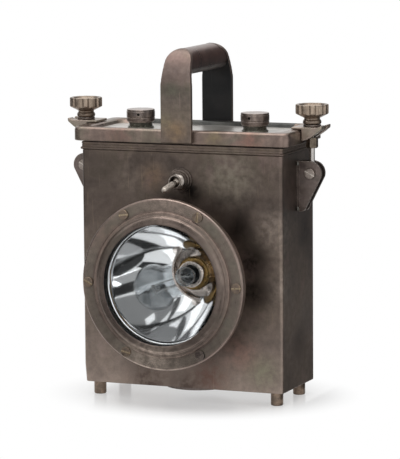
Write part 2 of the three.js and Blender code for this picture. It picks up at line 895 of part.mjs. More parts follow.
// A slotted screw along Z: the head starts at zero and the shank goes down.
function slottedScrew(sizes) {
  const { headRadius, headThickness, rounding, radius, reach, slotWidth, slotDepth } = sizes;
  const body = turned([
    [0, -reach],
    [radius, -reach],
    [radius, 0],
    [headRadius, 0],
    [headRadius, headThickness - rounding],
    [headRadius - rounding * roundingShare, headThickness - rounding * roundingShare],
    [headRadius - rounding, headThickness],
    [0, headThickness],
  ], smallSegments);
  const slotLength = 2 * (headRadius + cutOverrun);
  const slot = block(slotLength, slotWidth, 2 * slotDepth, 0, 0, headThickness);
  return cut(body, slot);
}

function pivotScrew() {
  const nutOuter = bracketWidth + seatGap + pinNutThickness;
  return slottedScrew({
    headRadius: pinHeadRadius,
    headThickness: pinHeadThickness,
    rounding: pinHeadRounding,
    radius: pinRadius,
    reach: nutOuter + 2 * seatGap,
    slotWidth: pinSlotWidth,
    slotDepth: pinSlotDepth,
  });
}

const nutBottomZ = lugSeatZ + seatGap + washerThickness + seatGap;
const nutWaistZ = nutBottomZ + nutBaseHeight;
const nutChamferZ = nutWaistZ + nutWaistHeight;
const nutHeadZ = nutChamferZ + nutChamferHeight;
const nutTopZ = nutHeadZ + nutHeadHeight;
const nutDishZ = nutTopZ - nutDishDepth;

function swingBolt() {
  const shank = rod(boltRadius, pinZ, nutDishZ + boltEndAboveDish);
  const eye = rod(eyeRadius, -eyeThickness / 2, eyeThickness / 2, middleSegments)
    .rotateX(Math.PI / 2)
    .translate(0, 0, pinZ);
  const hole = rod(pinRadius + runningGap, -eyeThickness, eyeThickness)
    .rotateX(Math.PI / 2)
    .translate(0, 0, pinZ);
  return cut(join(shank, eye), hole);
}

function washer() {
  const bottom = lugSeatZ + seatGap;
  const top = bottom + washerThickness;
  return turned([
    [boltRadius + runningGap, bottom],
    [washerRadius - washerRounding, bottom],
    [washerRadius, bottom + washerRounding],
    [washerRadius, top],
    [boltRadius + runningGap, top],
  ], middleSegments);
}

// The scalloped outline of the thumb nut's head.
function scallops() {
  const shape = new THREE.Shape();
  const steps = nutLobes * nutLobeSteps;
  for (let i = 0; i < steps; i += 1) {
    const angle = (i / steps) * Math.PI * 2;
    const dip = Math.abs(Math.sin((nutLobes * angle) / 2)) ** 3;
    const radius = nutHeadRadius - nutFluteDepth * dip;
    shape.lineTo(radius * Math.cos(angle), radius * Math.sin(angle));
  }
  shape.closePath();
  return shape;
}

function thumbNut() {
  const bore = boltRadius + runningGap;
  const chamferRadius = nutHeadRadius - nutHeadRounding;
  const envelope = turned([
    [bore, nutBottomZ],
    [nutBaseRadius - nutBaseRounding, nutBottomZ],
    [nutBaseRadius, nutBottomZ + nutBaseRounding],
    [nutBaseRadius * nutBaseCrownShare, nutBottomZ + nutBaseCrown],
    [nutWaistRadius, nutWaistZ],
    [nutWaistRadius, nutChamferZ],
    [chamferRadius, nutHeadZ],
    [nutHeadRadius, nutHeadZ + nutHeadRounding],
    [nutHeadRadius, nutTopZ - nutHeadRounding],
    [chamferRadius, nutTopZ],
    [nutDishRadius, nutTopZ],
    [nutDishRadius * nutDishFloorShare, nutDishZ],
    [bore, nutDishZ],
  ], middleSegments);
  const height = nutTopZ - nutBottomZ;
  const prism = extruded(scallops(), height).translate(0, 0, nutBottomZ);
  return common(envelope, prism);
}

function addClamp(sideName, turn) {
  const clamp = new THREE.Group();
  clamp.position.x = Math.cos(turn) * boltX;
  clamp.rotation.z = turn;
  lamp.add(clamp);
  addPiece(clamp, `lug_${sideName}`, lug(), castMetal());
  addPiece(clamp, `bracket_${sideName}`, bracket(), darkSteel());
  const screw = addPiece(clamp, `pivot_screw_${sideName}`, pivotScrew(), agedBrass());
  const front = Math.cos(turn);
  screw.position.set(0, -front * (bracketWidth / 2 + seatGap), pinZ);
  screw.rotation.set((front * Math.PI) / 2, 0, 0);
  const nut = hexNut(pinNutFlats, pinNutThickness, pinRadius + seatGap);
  const pinNut = addPiece(clamp, `pivot_nut_${sideName}`, nut, darkSteel());
  pinNut.position.set(0, front * (bracketWidth / 2 + seatGap), pinZ);
  pinNut.rotation.set((-front * Math.PI) / 2, 0, 0);
  addPiece(clamp, `swing_bolt_${sideName}`, swingBolt(), brightSteel());
  const stopNut = hexNut(stopNutFlats, stopNutHeight, boltRadius + seatGap);
  const under = addPiece(clamp, `stop_nut_${sideName}`, stopNut, agedBrass());
  under.position.z = lugSeatZ - stopNutDrop - stopNutHeight;
  addPiece(clamp, `clamp_washer_${sideName}`, washer(), darkSteel());
  const thumb = addPiece(clamp, `thumb_nut_${sideName}`, thumbNut(), agedBrass());
  thumb.rotation.z = nutTurn;
}

addClamp('right', 0);
addClamp('left', Math.PI);

// Lamp head: local Z runs forward from the case front, local Y is up

const head = new THREE.Group();
head.position.set(0, -caseDepth / 2, lampZ);
head.rotation.x = Math.PI / 2;
lamp.add(head);

function screwHoles(radius, from, to) {
  return Array.from({ length: bezelScrewCount }, (_, i) => {
    const angle = bezelScrewTurn + (i / bezelScrewCount) * Math.PI * 2;
    return rod(radius, from, to, holeSegments).translate(
      bezelScrewCircle * Math.cos(angle),
      bezelScrewCircle * Math.sin(angle),
      0,
    );
  });
}

function lampBarrel() {
  const flangeBack = barrelLength - barrelFlangeThickness;
  const body = turned([
    [barrelBore, seatGap],
    [barrelRadius, seatGap],
    [barrelRadius, flangeBack],
    [barrelFlangeRadius, flangeBack],
    [barrelFlangeRadius, barrelLength],
    [barrelBore, barrelLength],
  ]);
  const holes = screwHoles(bezelScrewRadius + seatGap, flangeBack - cutOverrun, bezelLip);
  return cut(body, ...holes);
}

function bezelRing() {
  const pocket = lensRadius + seatGap;
  const crown = bezelFace + collarStep;
  const outline = [
    [pocket, bezelBack],
    [bezelRadius, bezelBack],
    [bezelRadius, bezelFace - bezelEdgeRounding],
    [
      bezelRadius - bezelEdgeRounding * roundingShare,
      bezelFace - bezelEdgeRounding * roundingShare,
    ],
    [bezelRadius - bezelEdgeRounding, bezelFace],
    [collarRadius, bezelFace],
    [collarRadius, crown],
  ];
  const collarSteps = 5;
  for (let i = 1; i <= collarSteps; i += 1) {
    const angle = (i / collarSteps) * (Math.PI / 2);
    outline.push([
      collarRadius - (collarRadius - bezelOpeningRadius) * (1 - Math.cos(angle)),
      crown + (bezelLip - crown) * Math.sin(angle),
    ]);
  }
  outline.push([bezelOpeningRadius, lensSeat], [pocket, lensSeat]);
  const holes = screwHoles(bezelScrewRadius + seatGap, bezelBack - cutOverrun, bezelLip);
  return cut(turned(outline), ...holes);
}

function lensGasket() {
  const back = lensFront + seatGap;
  return tube(lensRadius - lensGasketWidth, lensRadius, back, back + lensGasketThickness);
}

// A parabolic dish with a flat rim and a hole for the lamp socket.
function reflector() {
  const shareAt = (radius) => (radius / reflectorRimRadius) ** 2;
  const dish = Array.from({ length: reflectorSteps + 1 }, (_, i) => {
    const reach = reflectorRimRadius - reflectorHoleRadius;
    const radius = reflectorHoleRadius + (reach * i) / reflectorSteps;
    return [radius, reflectorApex + reflectorDepth * shareAt(radius)];
  });
  const back = dish.map(([radius, forward]) => [radius + reflectorWall, forward - reflectorWall / 4]);
  const rim = reflectorRimRadius + reflectorRimWidth;
  back.pop();
  return turned([
    ...dish,
    [rim, reflectorRim],
    [rim, reflectorRim - reflectorWall],
    [reflectorRimRadius + reflectorWall, reflectorRim - reflectorWall],
    ...back.reverse(),
  ]);
}

const socketFront = reflectorApex
  + reflectorDepth * (reflectorHoleRadius / reflectorRimRadius) ** 2
  + socketCollarThickness
  + socketStandOff;

function lampSocket() {
  const back = socketFront - socketLength;
  const inner = socketBodyRadius - socketWall;
  return turned([
    [0, back],
    [socketBodyRadius, back],
    [socketBodyRadius, socketFront - socketCollarThickness],
    [reflectorHoleRadius - runningGap, socketFront - socketCollarThickness],
    [reflectorHoleRadius - runningGap, socketFront],
    [inner, socketFront],
    [inner, back + socketWall],
    [0, back + socketWall],
  ], middleSegments);
}

function bulbGlass() {
  const neckZ = socketFront + seatGap;
  const profile = [[0, neckZ], [bulbNeckRadius, neckZ]];
  const globeZ = neckZ + bulbLength - bulbRadius;
  const start = Math.acos(bulbNeckRadius / bulbRadius);
  for (let i = 0; i <= bulbSteps; i += 1) {
    const angle = -start + (i / bulbSteps) * (Math.PI / 2 + start);
    const radius = i === bulbSteps ? 0 : bulbRadius * Math.cos(angle);
    profile.push([radius, globeZ + bulbRadius * Math.sin(angle)]);
  }
  return turned(profile, middleSegments);
}

function bulbCap() {
  const front = socketFront;
  const flangeBack = front - bulbCapFlangeThickness;
  return turned([
    [0, front - bulbCapLength],
    [bulbCapRadius, front - bulbCapLength],
    [bulbCapRadius, flangeBack],
    [bulbCapFlange, flangeBack],
    [bulbCapFlange, front],
    [0, front],
  ], smallSegments);
}

addPiece(head, 'lamp_barrel', lampBarrel(), castMetal());
addPiece(head, 'bezel_ring', bezelRing(), castMetal());
addPiece(head, 'lens_gasket', lensGasket(), blackRubber());
addPiece(head, 'lens_glass', rod(lensRadius, lensBack, lensFront, roundSegments), glass());
addPiece(head, 'reflector', reflector(), chrome());
addPiece(head, 'lamp_socket', lampSocket(), agedBrass());
addPiece(head, 'bulb_glass', bulbGlass(), glass());
addPiece(head, 'bulb_cap', bulbCap(), agedBrass());

for (let i = 0; i < bezelScrewCount; i += 1) {
  const angle = bezelScrewTurn + (i / bezelScrewCount) * Math.PI * 2;
  const body = slottedScrew({
    headRadius: bezelScrewHeadRadius,
    headThickness: bezelScrewHeadThickness,
    rounding: bezelScrewRounding,
    radius: bezelScrewRadius,
    reach: bezelScrewReach,
    slotWidth: bezelScrewSlotWidth,
    slotDepth: bezelScrewSlotDepth,
  });
  const screw = addPiece(head, `bezel_screw_${i + 1}`, body, agedBrass());
  screw.position.set(
    bezelScrewCircle * Math.cos(angle),
    bezelScrewCircle * Math.sin(angle),
    bezelFace + seatGap,
  );
  screw.rotation.z = bezelScrewSlotAngles[i % bezelScrewSlotAngles.length];
}

// Toggle switch: the same directions as the lamp head

const toggle = new THREE.Group();
toggle.position.set(0, -caseDepth / 2, switchZ);
toggle.rotation.x = Math.PI / 2;
lamp.add(toggle);

const switchNutBack = seatGap + switchPlateThickness + seatGap;

function bushing() {
  const inner = bushingRadius - bushingWall;
  const floor = bushingLength - bushingSocketDepth;
  const back = -caseWall - seatGap;
  return turned([
    [0, back],
    [bushingRadius, back],
    [bushingRadius, bushingLength],
    [inner, bushingLength],
    [inner, floor],
    [0, floor],
  ], middleSegments);
}

function switchBody() {
  const front = -caseWall - 2 * seatGap;
  return block(
    switchBodyWidth,
    switchBodyHeight,
    switchBodyDepth,
    0,
    0,
    front - switchBodyDepth / 2,
  );
}

function lever() {
  const tip = leverLength - leverTipRadius;
  const profile = [];
  const ballSteps = 5;
  const exit = Math.acos(leverRootRadius / leverBallRadius);
  for (let i = 0; i <= ballSteps; i += 1) {
    const angle = -Math.PI / 2 + (i / ballSteps) * (Math.PI / 2 + exit);
    const radius = i === 0 ? 0 : leverBallRadius * Math.cos(angle);
    profile.push([radius, leverBallRadius * Math.sin(angle)]);
  }
  const tipSteps = 3;
  for (let i = 0; i <= tipSteps; i += 1) {
    const angle = (i / tipSteps) * (Math.PI / 2);
    const radius = i === tipSteps ? 0 : leverTipRadius * Math.cos(angle);
    profile.push([radius, tip + leverTipRadius * Math.sin(angle)]);
  }
  return turned(profile, smallSegments);
}

const switchPlate = tube(
  bushingRadius + seatGap,
  switchPlateRadius,
  seatGap,
  seatGap + switchPlateThickness,
  middleSegments,
);
addPiece(toggle, 'switch_plate', switchPlate, darkSteel());
const switchNut = addPiece(
  toggle,
  'switch_nut',
  hexNut(switchNutFlats, switchNutThickness, bushingRadius + seatGap),
  darkSteel(),
);
switchNut.position.z = switchNutBack;
addPiece(toggle, 'switch_bushing', bushing(), darkSteel());
addPiece(toggle, 'switch_body', switchBody(), ebonite());
const leverPiece = addPiece(toggle, 'switch_lever', lever(), brightSteel());
leverPiece.position.z = bushingLength - leverPivotDepth;
leverPiece.rotation.set(leverThrow, 0, leverTurn, 'ZXY');

// Cells, one at each side of the reflector, with their link and leads

const cellOuterX = caseWidth / 2 - caseWall - cellEndClearance;
const cellInnerX = frontHoleRadius + cellHeadClearance;
const cellWidth = cellOuterX - cellInnerX;
const cellDepth = caseDepth - 2 * (caseWall + cellSideClearance);
const cellX = (cellOuterX + cellInnerX) / 2;
const cellBottomZ = footHeight + caseWall + seatGap;
const cellTopZ = cellBottomZ + cellHeight;
const postX = cellX - cellWidth / 2 + postInset;
const postY = cellDepth / 2 - postInset;
const postTopZ = cellTopZ + postHeight;

function cell(sign) {
  const body = lofted([
    roundedLoop(cellWidth / 2, cellDepth / 2, cellEdgeRadius, cellBottomZ),
    roundedLoop(cellWidth / 2, cellDepth / 2, cellEdgeRadius, cellTopZ),
  ], true).translate(sign * cellX, 0, 0);
  const filler = rod(fillerRadius, cellTopZ - cutOverrun, cellTopZ + fillerHeight, middleSegments);
  const posts = [-1, 1].map((signY) => {
    const post = rod(postRadius, cellTopZ - cutOverrun, postTopZ);
    return post.translate(sign * postX, signY * postY, 0);
  });
  return join(body, filler.translate(sign * ventX, 0, 0), ...posts);
}

function cellLink() {
  const bottom = postTopZ + seatGap;
  const shape = new THREE.Shape();
  shape.absarc(postX, postY, linkEndRadius, -Math.PI / 2, Math.PI / 2, false);
  shape.absarc(-postX, postY, linkEndRadius, Math.PI / 2, (Math.PI * 3) / 2, false);
  shape.closePath();
  return extruded(shape, linkThickness).translate(0, 0, bottom);
}

function lead(points) {
  const path = new THREE.CatmullRomCurve3(points, false, 'centripetal');
  const section = new THREE.Shape();
  section.absarc(0, 0, leadRadius, 0, Math.PI * 2, false);
  return new THREE.ExtrudeGeometry(section, {
    steps: leadSteps,
    extrudePath: path,
    curveSegments: leadSides,
    bevelEnabled: false,
  });
}

const switchBackY = -caseDepth / 2 + caseWall + 2 * seatGap + switchBodyDepth;
const socketBackY = -caseDepth / 2 - (socketFront - socketLength);
const leadStart = postTopZ + seatGap + leadRadius;
const point = (x, y, z) => new THREE.Vector3(x, y, z);

function feedLead() {
  const endY = switchBackY + seatGap;
  return lead([
    point(-postX, -postY, postTopZ + seatGap),
    point(-postX, -postY, leadStart + 3 * leadRadius),
    point(-postX * 0.7, -postY * 0.3, leadStart + 4 * leadRadius),
    point(-postX * 0.3, endY + 4 * leadRadius, switchZ + 2 * leadRadius),
    point(-switchBodyWidth / 4, endY + 3 * leadRadius, switchZ),
    point(-switchBodyWidth / 4, endY, switchZ),
  ]);
}

function lampLead() {
  const startY = switchBackY + seatGap;
  return lead([
    point(switchBodyWidth / 4, startY, switchZ),
    point(switchBodyWidth / 4, startY + 3 * leadRadius, switchZ),
    point(0, socketBackY + 7 * leadRadius, (switchZ + lampZ) / 2 + switchBodyHeight),
    point(-socketBodyRadius / 2, socketBackY + 7 * leadRadius, lampZ + switchBodyHeight),
    point(-socketBodyRadius / 2, socketBackY + 4 * leadRadius, lampZ + leadRadius),
    point(-socketBodyRadius / 2, socketBackY + seatGap, lampZ),
  ]);
}

function returnLead() {
  return lead([
    point(postX, -postY, postTopZ + seatGap),
    point(postX, -postY, leadStart + 3 * leadRadius),
    point(postX * 0.66, -postY * 0.2, leadStart + 2 * leadRadius),
    point(postX * 0.55, socketBackY, (switchZ + lampZ) / 2),
    point(socketBodyRadius, socketBackY + 7 * leadRadius, lampZ + 6 * leadRadius),
    point(socketBodyRadius / 2, socketBackY + 4 * leadRadius, lampZ),
    point(socketBodyRadius / 2, socketBackY + seatGap, lampZ),
  ]);
}

addPiece(lamp, 'cell_left', cell(-1), ebonite());
addPiece(lamp, 'cell_right', cell(1), ebonite());
addPiece(lamp, 'cell_link', cellLink(), brightSteel());
addPiece(lamp, 'lead_feed', feedLead(), blackRubber());
addPiece(lamp, 'lead_lamp', lampLead(), blackRubber());
addPiece(lamp, 'lead_return', returnLead(), blackRubber());

// The object is centred front to back between the lamp's lip and the rear strap

const frontReach = caseDepth / 2 + bezelLip;
lamp.position.y = (frontReach - handleOuterY) / 2;

export default lamp;
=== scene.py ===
import math

import bmesh
import bpy
from mathutils import Matrix, Vector


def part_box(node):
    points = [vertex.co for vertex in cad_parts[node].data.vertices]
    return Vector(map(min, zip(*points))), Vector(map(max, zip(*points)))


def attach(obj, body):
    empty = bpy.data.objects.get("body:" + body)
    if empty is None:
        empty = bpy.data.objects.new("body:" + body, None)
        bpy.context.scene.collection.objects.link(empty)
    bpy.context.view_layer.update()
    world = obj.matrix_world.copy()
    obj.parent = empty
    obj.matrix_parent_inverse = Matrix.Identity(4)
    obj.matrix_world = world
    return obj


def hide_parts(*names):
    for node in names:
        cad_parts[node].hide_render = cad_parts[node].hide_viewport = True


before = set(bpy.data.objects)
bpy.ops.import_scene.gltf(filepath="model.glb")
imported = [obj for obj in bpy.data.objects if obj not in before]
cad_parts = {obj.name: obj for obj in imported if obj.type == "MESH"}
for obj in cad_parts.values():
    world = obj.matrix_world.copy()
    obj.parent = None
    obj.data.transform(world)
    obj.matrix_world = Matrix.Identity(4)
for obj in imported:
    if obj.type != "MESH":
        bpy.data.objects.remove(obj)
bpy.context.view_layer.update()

# Units: lengths of details are written in millimetres and turned to metres by MM

MM = 0.001
ORIGIN = (0, 0, 0)
UPRIGHT = (0, 0, 0)
FORWARD = (math.pi / 2, 0, 0)
TURNED_STEPS = 96
SMALL_STEPS = 48
# The gap between parts that bear on each other
SEAT_GAP = 0.3
# How far a cutting tool runs past the metal, and how far those reach that cut walls and clamps
PAST = 5
WALL_CUT = 6
NEAR_CUT = 20
FAR_CUT = 30
HAIR = 0.01 * MM

# The camera, fitted to the case's corners, the lens ring and the feet

VIEW_AZIMUTH = 22.26
VIEW_ELEVATION = 7.77
VIEW_ROLL = math.radians(-0.43)
VIEW_DISTANCE = 2924.9 * MM
VIEW_TARGET_X = 1.68 * MM
VIEW_TARGET_Z = 156.51 * MM
SENSOR_SIZE = 36
FOCAL_LENGTH = 244.4
CLIP_END = 20

case_low, case_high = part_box("case_shell")
case_middle_y = (case_low.y + case_high.y) / 2
case_middle = Vector((0, case_middle_y, 0))


def bearing(azimuth, elevation):
    """The way from the object to a thing that stands round it, from angles in degrees."""
    azimuth = math.radians(azimuth)
    elevation = math.radians(elevation)
    level = math.cos(elevation)
    return Vector((math.sin(azimuth) * level, -math.cos(azimuth) * level, math.sin(elevation)))


def linked(name, data):
    thing = bpy.data.objects.new(name, data)
    bpy.context.scene.collection.objects.link(thing)
    return thing


def photo_camera():
    back = bearing(VIEW_AZIMUTH, VIEW_ELEVATION)
    right = bearing(VIEW_AZIMUTH + 90, 0)
    up = back.cross(right)
    rolled_right = right * math.cos(VIEW_ROLL) + up * math.sin(VIEW_ROLL)
    rolled_up = up * math.cos(VIEW_ROLL) - right * math.sin(VIEW_ROLL)
    data = bpy.data.cameras.new("photo_camera")
    data.sensor_fit = "VERTICAL"
    data.sensor_height = SENSOR_SIZE
    data.lens = FOCAL_LENGTH
    data.clip_end = CLIP_END
    camera = linked("photo_camera", data)
    target = Vector((VIEW_TARGET_X, case_middle_y, VIEW_TARGET_Z))
    turn = Matrix((rolled_right, rolled_up, back)).transposed().to_4x4()
    camera.matrix_world = Matrix.Translation(target + back * VIEW_DISTANCE) @ turn
    bpy.context.scene.camera = camera


photo_camera()

# Where the CAD nodes stand


def in_mm(length):
    return length / MM


def centre_of(node):
    low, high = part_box(node)
    return (low + high) / 2


def heights(node):
    """How low and how high a node reaches, in millimetres."""
    low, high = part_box(node)
    return in_mm(low.z), in_mm(high.z)


def forward(node):
    """A node's back and front, in millimetres forward of the case's front."""
    low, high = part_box(node)
    return in_mm(case_low.y - high.y), in_mm(case_low.y - low.y)


lamp_centre = centre_of("bezel_ring")
case_front = Vector((0, case_low.y, lamp_centre.z))
switch_front = Vector((0, case_low.y, centre_of("switch_plate").z))

# Modelling helpers


def alone(piece):
    bpy.ops.object.select_all(action="DESELECT")
    piece.select_set(True)
    bpy.context.view_layer.objects.active = piece


def edit(piece):
    alone(piece)
    bpy.ops.object.mode_set(mode="EDIT")
    bpy.ops.mesh.select_all(action="DESELECT")


def leave_edit():
    bpy.ops.object.mode_set(mode="OBJECT")


def select_mesh():
    bpy.ops.mesh.select_all(action="SELECT")


def pick(piece, kind, test):
    """Selects the faces, edges or vertices that pass a test, in edit mode."""
    mesh = bmesh.from_edit_mesh(piece.data)
    parts = {"FACE": mesh.faces, "EDGE": mesh.edges, "VERT": mesh.verts}[kind]
    bpy.ops.mesh.select_mode(type=kind)
    bpy.ops.mesh.select_all(action="DESELECT")
    for part in parts:
        part.select_set(bool(test(part)))
    mesh.select_flush_mode()
    bmesh.update_edit_mesh(piece.data)


def middle(edge):
    return (edge.verts[0].co + edge.verts[1].co) / 2


def round_edges(piece, width, segments, test):
    """Bevels the edges that pass a test, in edit mode."""
    pick(piece, "EDGE", test)
    bpy.ops.mesh.bevel(offset=width * MM, segments=segments, affect="EDGES")


def settle(piece, place=ORIGIN, turn=UPRIGHT):
    """Moves a piece to its place and writes that place into its mesh."""
    alone(piece)
    piece.location = place
    piece.rotation_euler = turn
    bpy.ops.object.transform_apply(location=True, rotation=True, scale=True)
    return piece


def added(operator, name, **values):
    """A new primitive, with its place and scale written into its mesh."""
    bpy.ops.object.select_all(action="DESELECT")
    operator(**values)
    piece = bpy.context.object
    piece.name = name
    bpy.ops.object.transform_apply(location=True, rotation=True, scale=True)
    return piece


def modified(piece, kind, **values):
    """Adds one modifier with its values and applies it."""
    alone(piece)
    modifier = piece.modifiers.new(kind.title(), kind)
    for key, value in values.items():
        setattr(modifier, key, value)
    bpy.ops.object.modifier_apply(modifier=modifier.name)
    return piece


def shaded(piece, angle=32):
    """Smooth shading that keeps flat faces flat and breaks at sharp edges."""
    alone(piece)
    bpy.ops.object.shade_smooth_by_angle(angle=math.radians(angle))
    return modified(piece, "WEIGHTED_NORMAL", keep_sharp=True, weight=50)


def softened(piece, width, segments=3, angle=32):
    """Rounds every sharp edge by a few tenths, as filing and wear do."""
    modified(
        piece, "BEVEL", width=width * MM, segments=segments, limit_method="ANGLE",
        angle_limit=math.radians(angle), miter_outer="MITER_ARC",
    )
    return shaded(piece)


def cast(piece, voxel, rounds):
    """Melts a piece's edges together, as a casting's are."""
    modified(piece, "REMESH", mode="VOXEL", voxel_size=voxel * MM, adaptivity=0)
    modified(piece, "SMOOTH", factor=0.5, iterations=rounds)
    alone(piece)
    bpy.ops.object.shade_smooth()


def carved(piece, *tools, operation="DIFFERENCE"):
    """Cuts a piece with its tools, or joins or intersects it with them."""
    for tool in tools:
        modified(piece, "BOOLEAN", operation=operation, solver="EXACT", object=tool)
        bpy.data.objects.remove(tool)


def copied(piece, name):
    twin = piece.copy()
    twin.data = piece.data.copy()
    twin.name = name
    bpy.context.scene.collection.objects.link(twin)
    return twin


def joined(name, *pieces):
    """Makes several bodies one piece."""
    alone(pieces[0])
    for piece in pieces[1:]:
        piece.select_set(True)
    bpy.ops.object.join()
    pieces[0].name = name
    return pieces[0]


def arc(x, y, radius, first, last, steps, tall=1):
    """An outline's points from one angle to another, on a circle or on one stretched in height."""
    angles = [first + (last - first) * k / steps for k in range(steps + 1)]
    return [(x + radius * math.cos(a), y + tall * radius * math.sin(a)) for a in angles]


def bent(points, steps):
    """An outline's points along a Bezier curve, from its control points."""
    degree = len(points) - 1
    curve = []
    for i in range(steps + 1):
        t = i / steps
        weights = [math.comb(degree, k) * t ** k * (1 - t) ** (degree - k) for k in range(degree + 1)]
        curve.append(tuple(sum(w * point[axis] for w, point in zip(weights, points)) for axis in (0, 1)))
    return curve


def ridged(start, end, pitch, ridge):
    """One ridge of (radius, rise), repeated at a pitch, and the height that the ridges reach."""
    points = []
    height = start
    while height + pitch < end:
        points += [(radius, height + rise) for radius, rise in ridge]
        height += pitch
    return points, height


def eased(points, steps=4):
    """An outline's points, where a third value rounds that corner by an arc."""
    outline = []
    for i, (x, y, *radius) in enumerate(points):
        here = Vector((x, y))
        if not radius:
            outline.append((x, y))
            continue
        before = (Vector(points[i - 1][:2]) - here).normalized()
        after = (Vector(points[(i + 1) % len(points)][:2]) - here).normalized()
        half = before.angle(after) / 2
        centre = here + (before + after).normalized() * (radius[0] / math.sin(half))
        start = here + before * (radius[0] / math.tan(half)) - centre
        end = here + after * (radius[0] / math.tan(half)) - centre
        first = math.atan2(start.y, start.x)
        sweep = math.remainder(math.atan2(end.y, end.x) - first, math.tau)
        outline += arc(centre.x, centre.y, radius[0], first, first + sweep, steps)
    return outline


def rounded_rectangle(half_x, half_y, radius, steps=6):
    corners = [(half_x, half_y), (-half_x, half_y), (-half_x, -half_y), (half_x, -half_y)]
    return eased([(x, y, radius) for x, y in corners], steps)


def drawn(name, points, closed):
    """A line of edges, drawn point by point from one vertex. Leaves edit mode on."""
    piece = added(bpy.ops.mesh.primitive_plane_add, name, size=MM)
    piece.data.name = name
    bpy.ops.object.mode_set(mode="EDIT")
    bpy.ops.mesh.select_mode(type="VERT")
    select_mesh()
    bpy.ops.mesh.merge(type="CENTER")
    select_mesh()
    line = [Vector(point) * MM for point in points]
    if closed:
        line.append(line[0])
    bpy.ops.transform.translate(value=line[0])
    for here, there in zip(line, line[1:]):
        bpy.ops.mesh.extrude_region_move(TRANSFORM_OT_translate={"value": there - here})
    select_mesh()
    if closed:
        bpy.ops.mesh.remove_doubles(threshold=0.001 * MM)
        select_mesh()
    return piece


def completed(piece, place, turn):
    """Turns all faces outward, leaves edit mode and puts the piece in its place."""
    select_mesh()
    bpy.ops.mesh.normals_make_consistent(inside=False)
    leave_edit()
    return settle(piece, place, turn)


def turned(name, profile, place=ORIGIN, turn=UPRIGHT, ring=False, steps=TURNED_STEPS):
    """A profile of radius and height, spun about its own upright axis."""
    piece = drawn(name, [(radius, 0, height) for radius, height in profile], ring)
    bpy.ops.mesh.spin(steps=steps, angle=math.tau, center=ORIGIN, axis=(0, 0, 1))
    select_mesh()
    bpy.ops.mesh.remove_doubles(threshold=0.002 * MM)
    return completed(piece, place, turn)


def slab(name, outline, low, high, turn):
    """An outline in X and Y, filled and extruded from one height to another."""
    piece = drawn(name, [(x, y, low) for x, y in outline], True)
    bpy.ops.mesh.edge_face_add()
    select_mesh()
    bpy.ops.mesh.extrude_region_move(TRANSFORM_OT_translate={"value": (0, 0, (high - low) * MM)})
    return completed(piece, ORIGIN, turn)


def along_x(name, outline, width):
    """A slab whose outline lies in Y and Z, centred on X zero."""
    return slab(name, outline, -width / 2, width / 2, (math.pi / 2, 0, math.pi / 2))


def along_y(name, outline, width):
    """A slab whose outline lies in X and Z, centred on Y zero."""
    return slab(name, outline, -width / 2, width / 2, FORWARD)


def stacked(name, outline, levels, place):
    """An outline raised level by level. Each level is (height, width, depth), and
    width and depth are its full size there."""
    width = max(x for x, y in outline) - min(x for x, y in outline)
    depth = max(y for x, y in outline) - min(y for x, y in outline)
    height, wide, deep = levels[0]
    piece = drawn(name, [(x * wide / width, y * deep / depth, height) for x, y in outline], True)
    bpy.ops.mesh.edge_face_add()
    select_mesh()
    for (old_z, old_x, old_y), (new_z, new_x, new_y) in zip(levels, levels[1:]):
        move = {"value": (0, 0, (new_z - old_z) * MM)}
        bpy.ops.mesh.extrude_region_move(TRANSFORM_OT_translate=move)
        stretch = (new_x / old_x, new_y / old_y, 1)
        bpy.ops.transform.resize(value=stretch, center_override=(0, 0, new_z * MM))
    return completed(piece, place, UPRIGHT)


def peg(radius, low, high, place=ORIGIN, turn=UPRIGHT, sides=SMALL_STEPS):
    """A cylinder along its own axis, as a cutting tool or a start."""
    piece = added(
        bpy.ops.mesh.primitive_cylinder_add, "peg", vertices=sides, radius=radius * MM,
        depth=(high - low) * MM, location=(0, 0, (high + low) / 2 * MM),
    )
    return settle(piece, place, turn)


def block(low, high):
    """A box between two corners, as a cutting tool or a start."""
    piece = added(bpy.ops.mesh.primitive_cube_add, "block", size=1)
    piece.scale = high - low
    return settle(piece, (low + high) / 2)


# Material helpers


def linear(code):
    """An sRGB hex colour as the linear value that a shader takes."""
    channels = [int(code[i:i + 2], 16) / 255 for i in (1, 3, 5)]
    return [c / 12.92 if c <= 0.04045 else ((c + 0.055) / 1.055) ** 2.4 for c in channels] + [1]


def grey(value):
    return [value, value, value, 1]


def per_mm(size):
    """The noise scale that gives features of a size in millimetres."""
    return 1 / (size * MM)


def add_node(tree, kind, settings=None, links=None, out=0):
    """Adds a node, with the values of its settings and inputs and what feeds it, and
    gives one of its outputs."""
    node = tree.nodes.new(f"ShaderNode{kind}")
    for key, value in (settings or {}).items():
        if key == "stops":
            ramp = node.color_ramp
            while len(ramp.elements) < len(value):
                ramp.elements.new(1)
            for element, (position, colour) in zip(ramp.elements, value):
                element.position = position
                element.color = colour
        elif isinstance(key, int) or key in node.inputs:
            node.inputs[key].default_value = value
        else:
            setattr(node, key, value)
    for key, source in (links or {}).items():
        tree.links.new(source, node.inputs[key])
    return node.outputs[out]


def new_material(name, metallic=0, roughness=0.5):
    material = bpy.data.materials.new(name)
    material.use_nodes = True
    tree = material.node_tree
    shader = tree.nodes["Principled BSDF"]
    shader.inputs["Metallic"].default_value = metallic
    shader.inputs["Roughness"].default_value = roughness
    return material, tree, shader


# Sizes of the bath finish's features, in millimetres; real lathe marks are finer and wouldn't show
SPECK_SIZE = 1.4
SCRATCH_WIDTH = 1.1
LATHE_PITCH = 0.6
WORN_EDGE = 0.9
SPECK_RELIEF = 0.06
DENT_RELIEF = 0.5
# Where a noise has most of its values: round its middle, and from and to
NOISE_SPREAD = 0.34
NOISE_RANGE = {1: 0.3, 2: 0.7}
# How far mottling and speckle change the tone
MOTTLE_REACH = 0.4
SPECKLE_REACH = 0.2
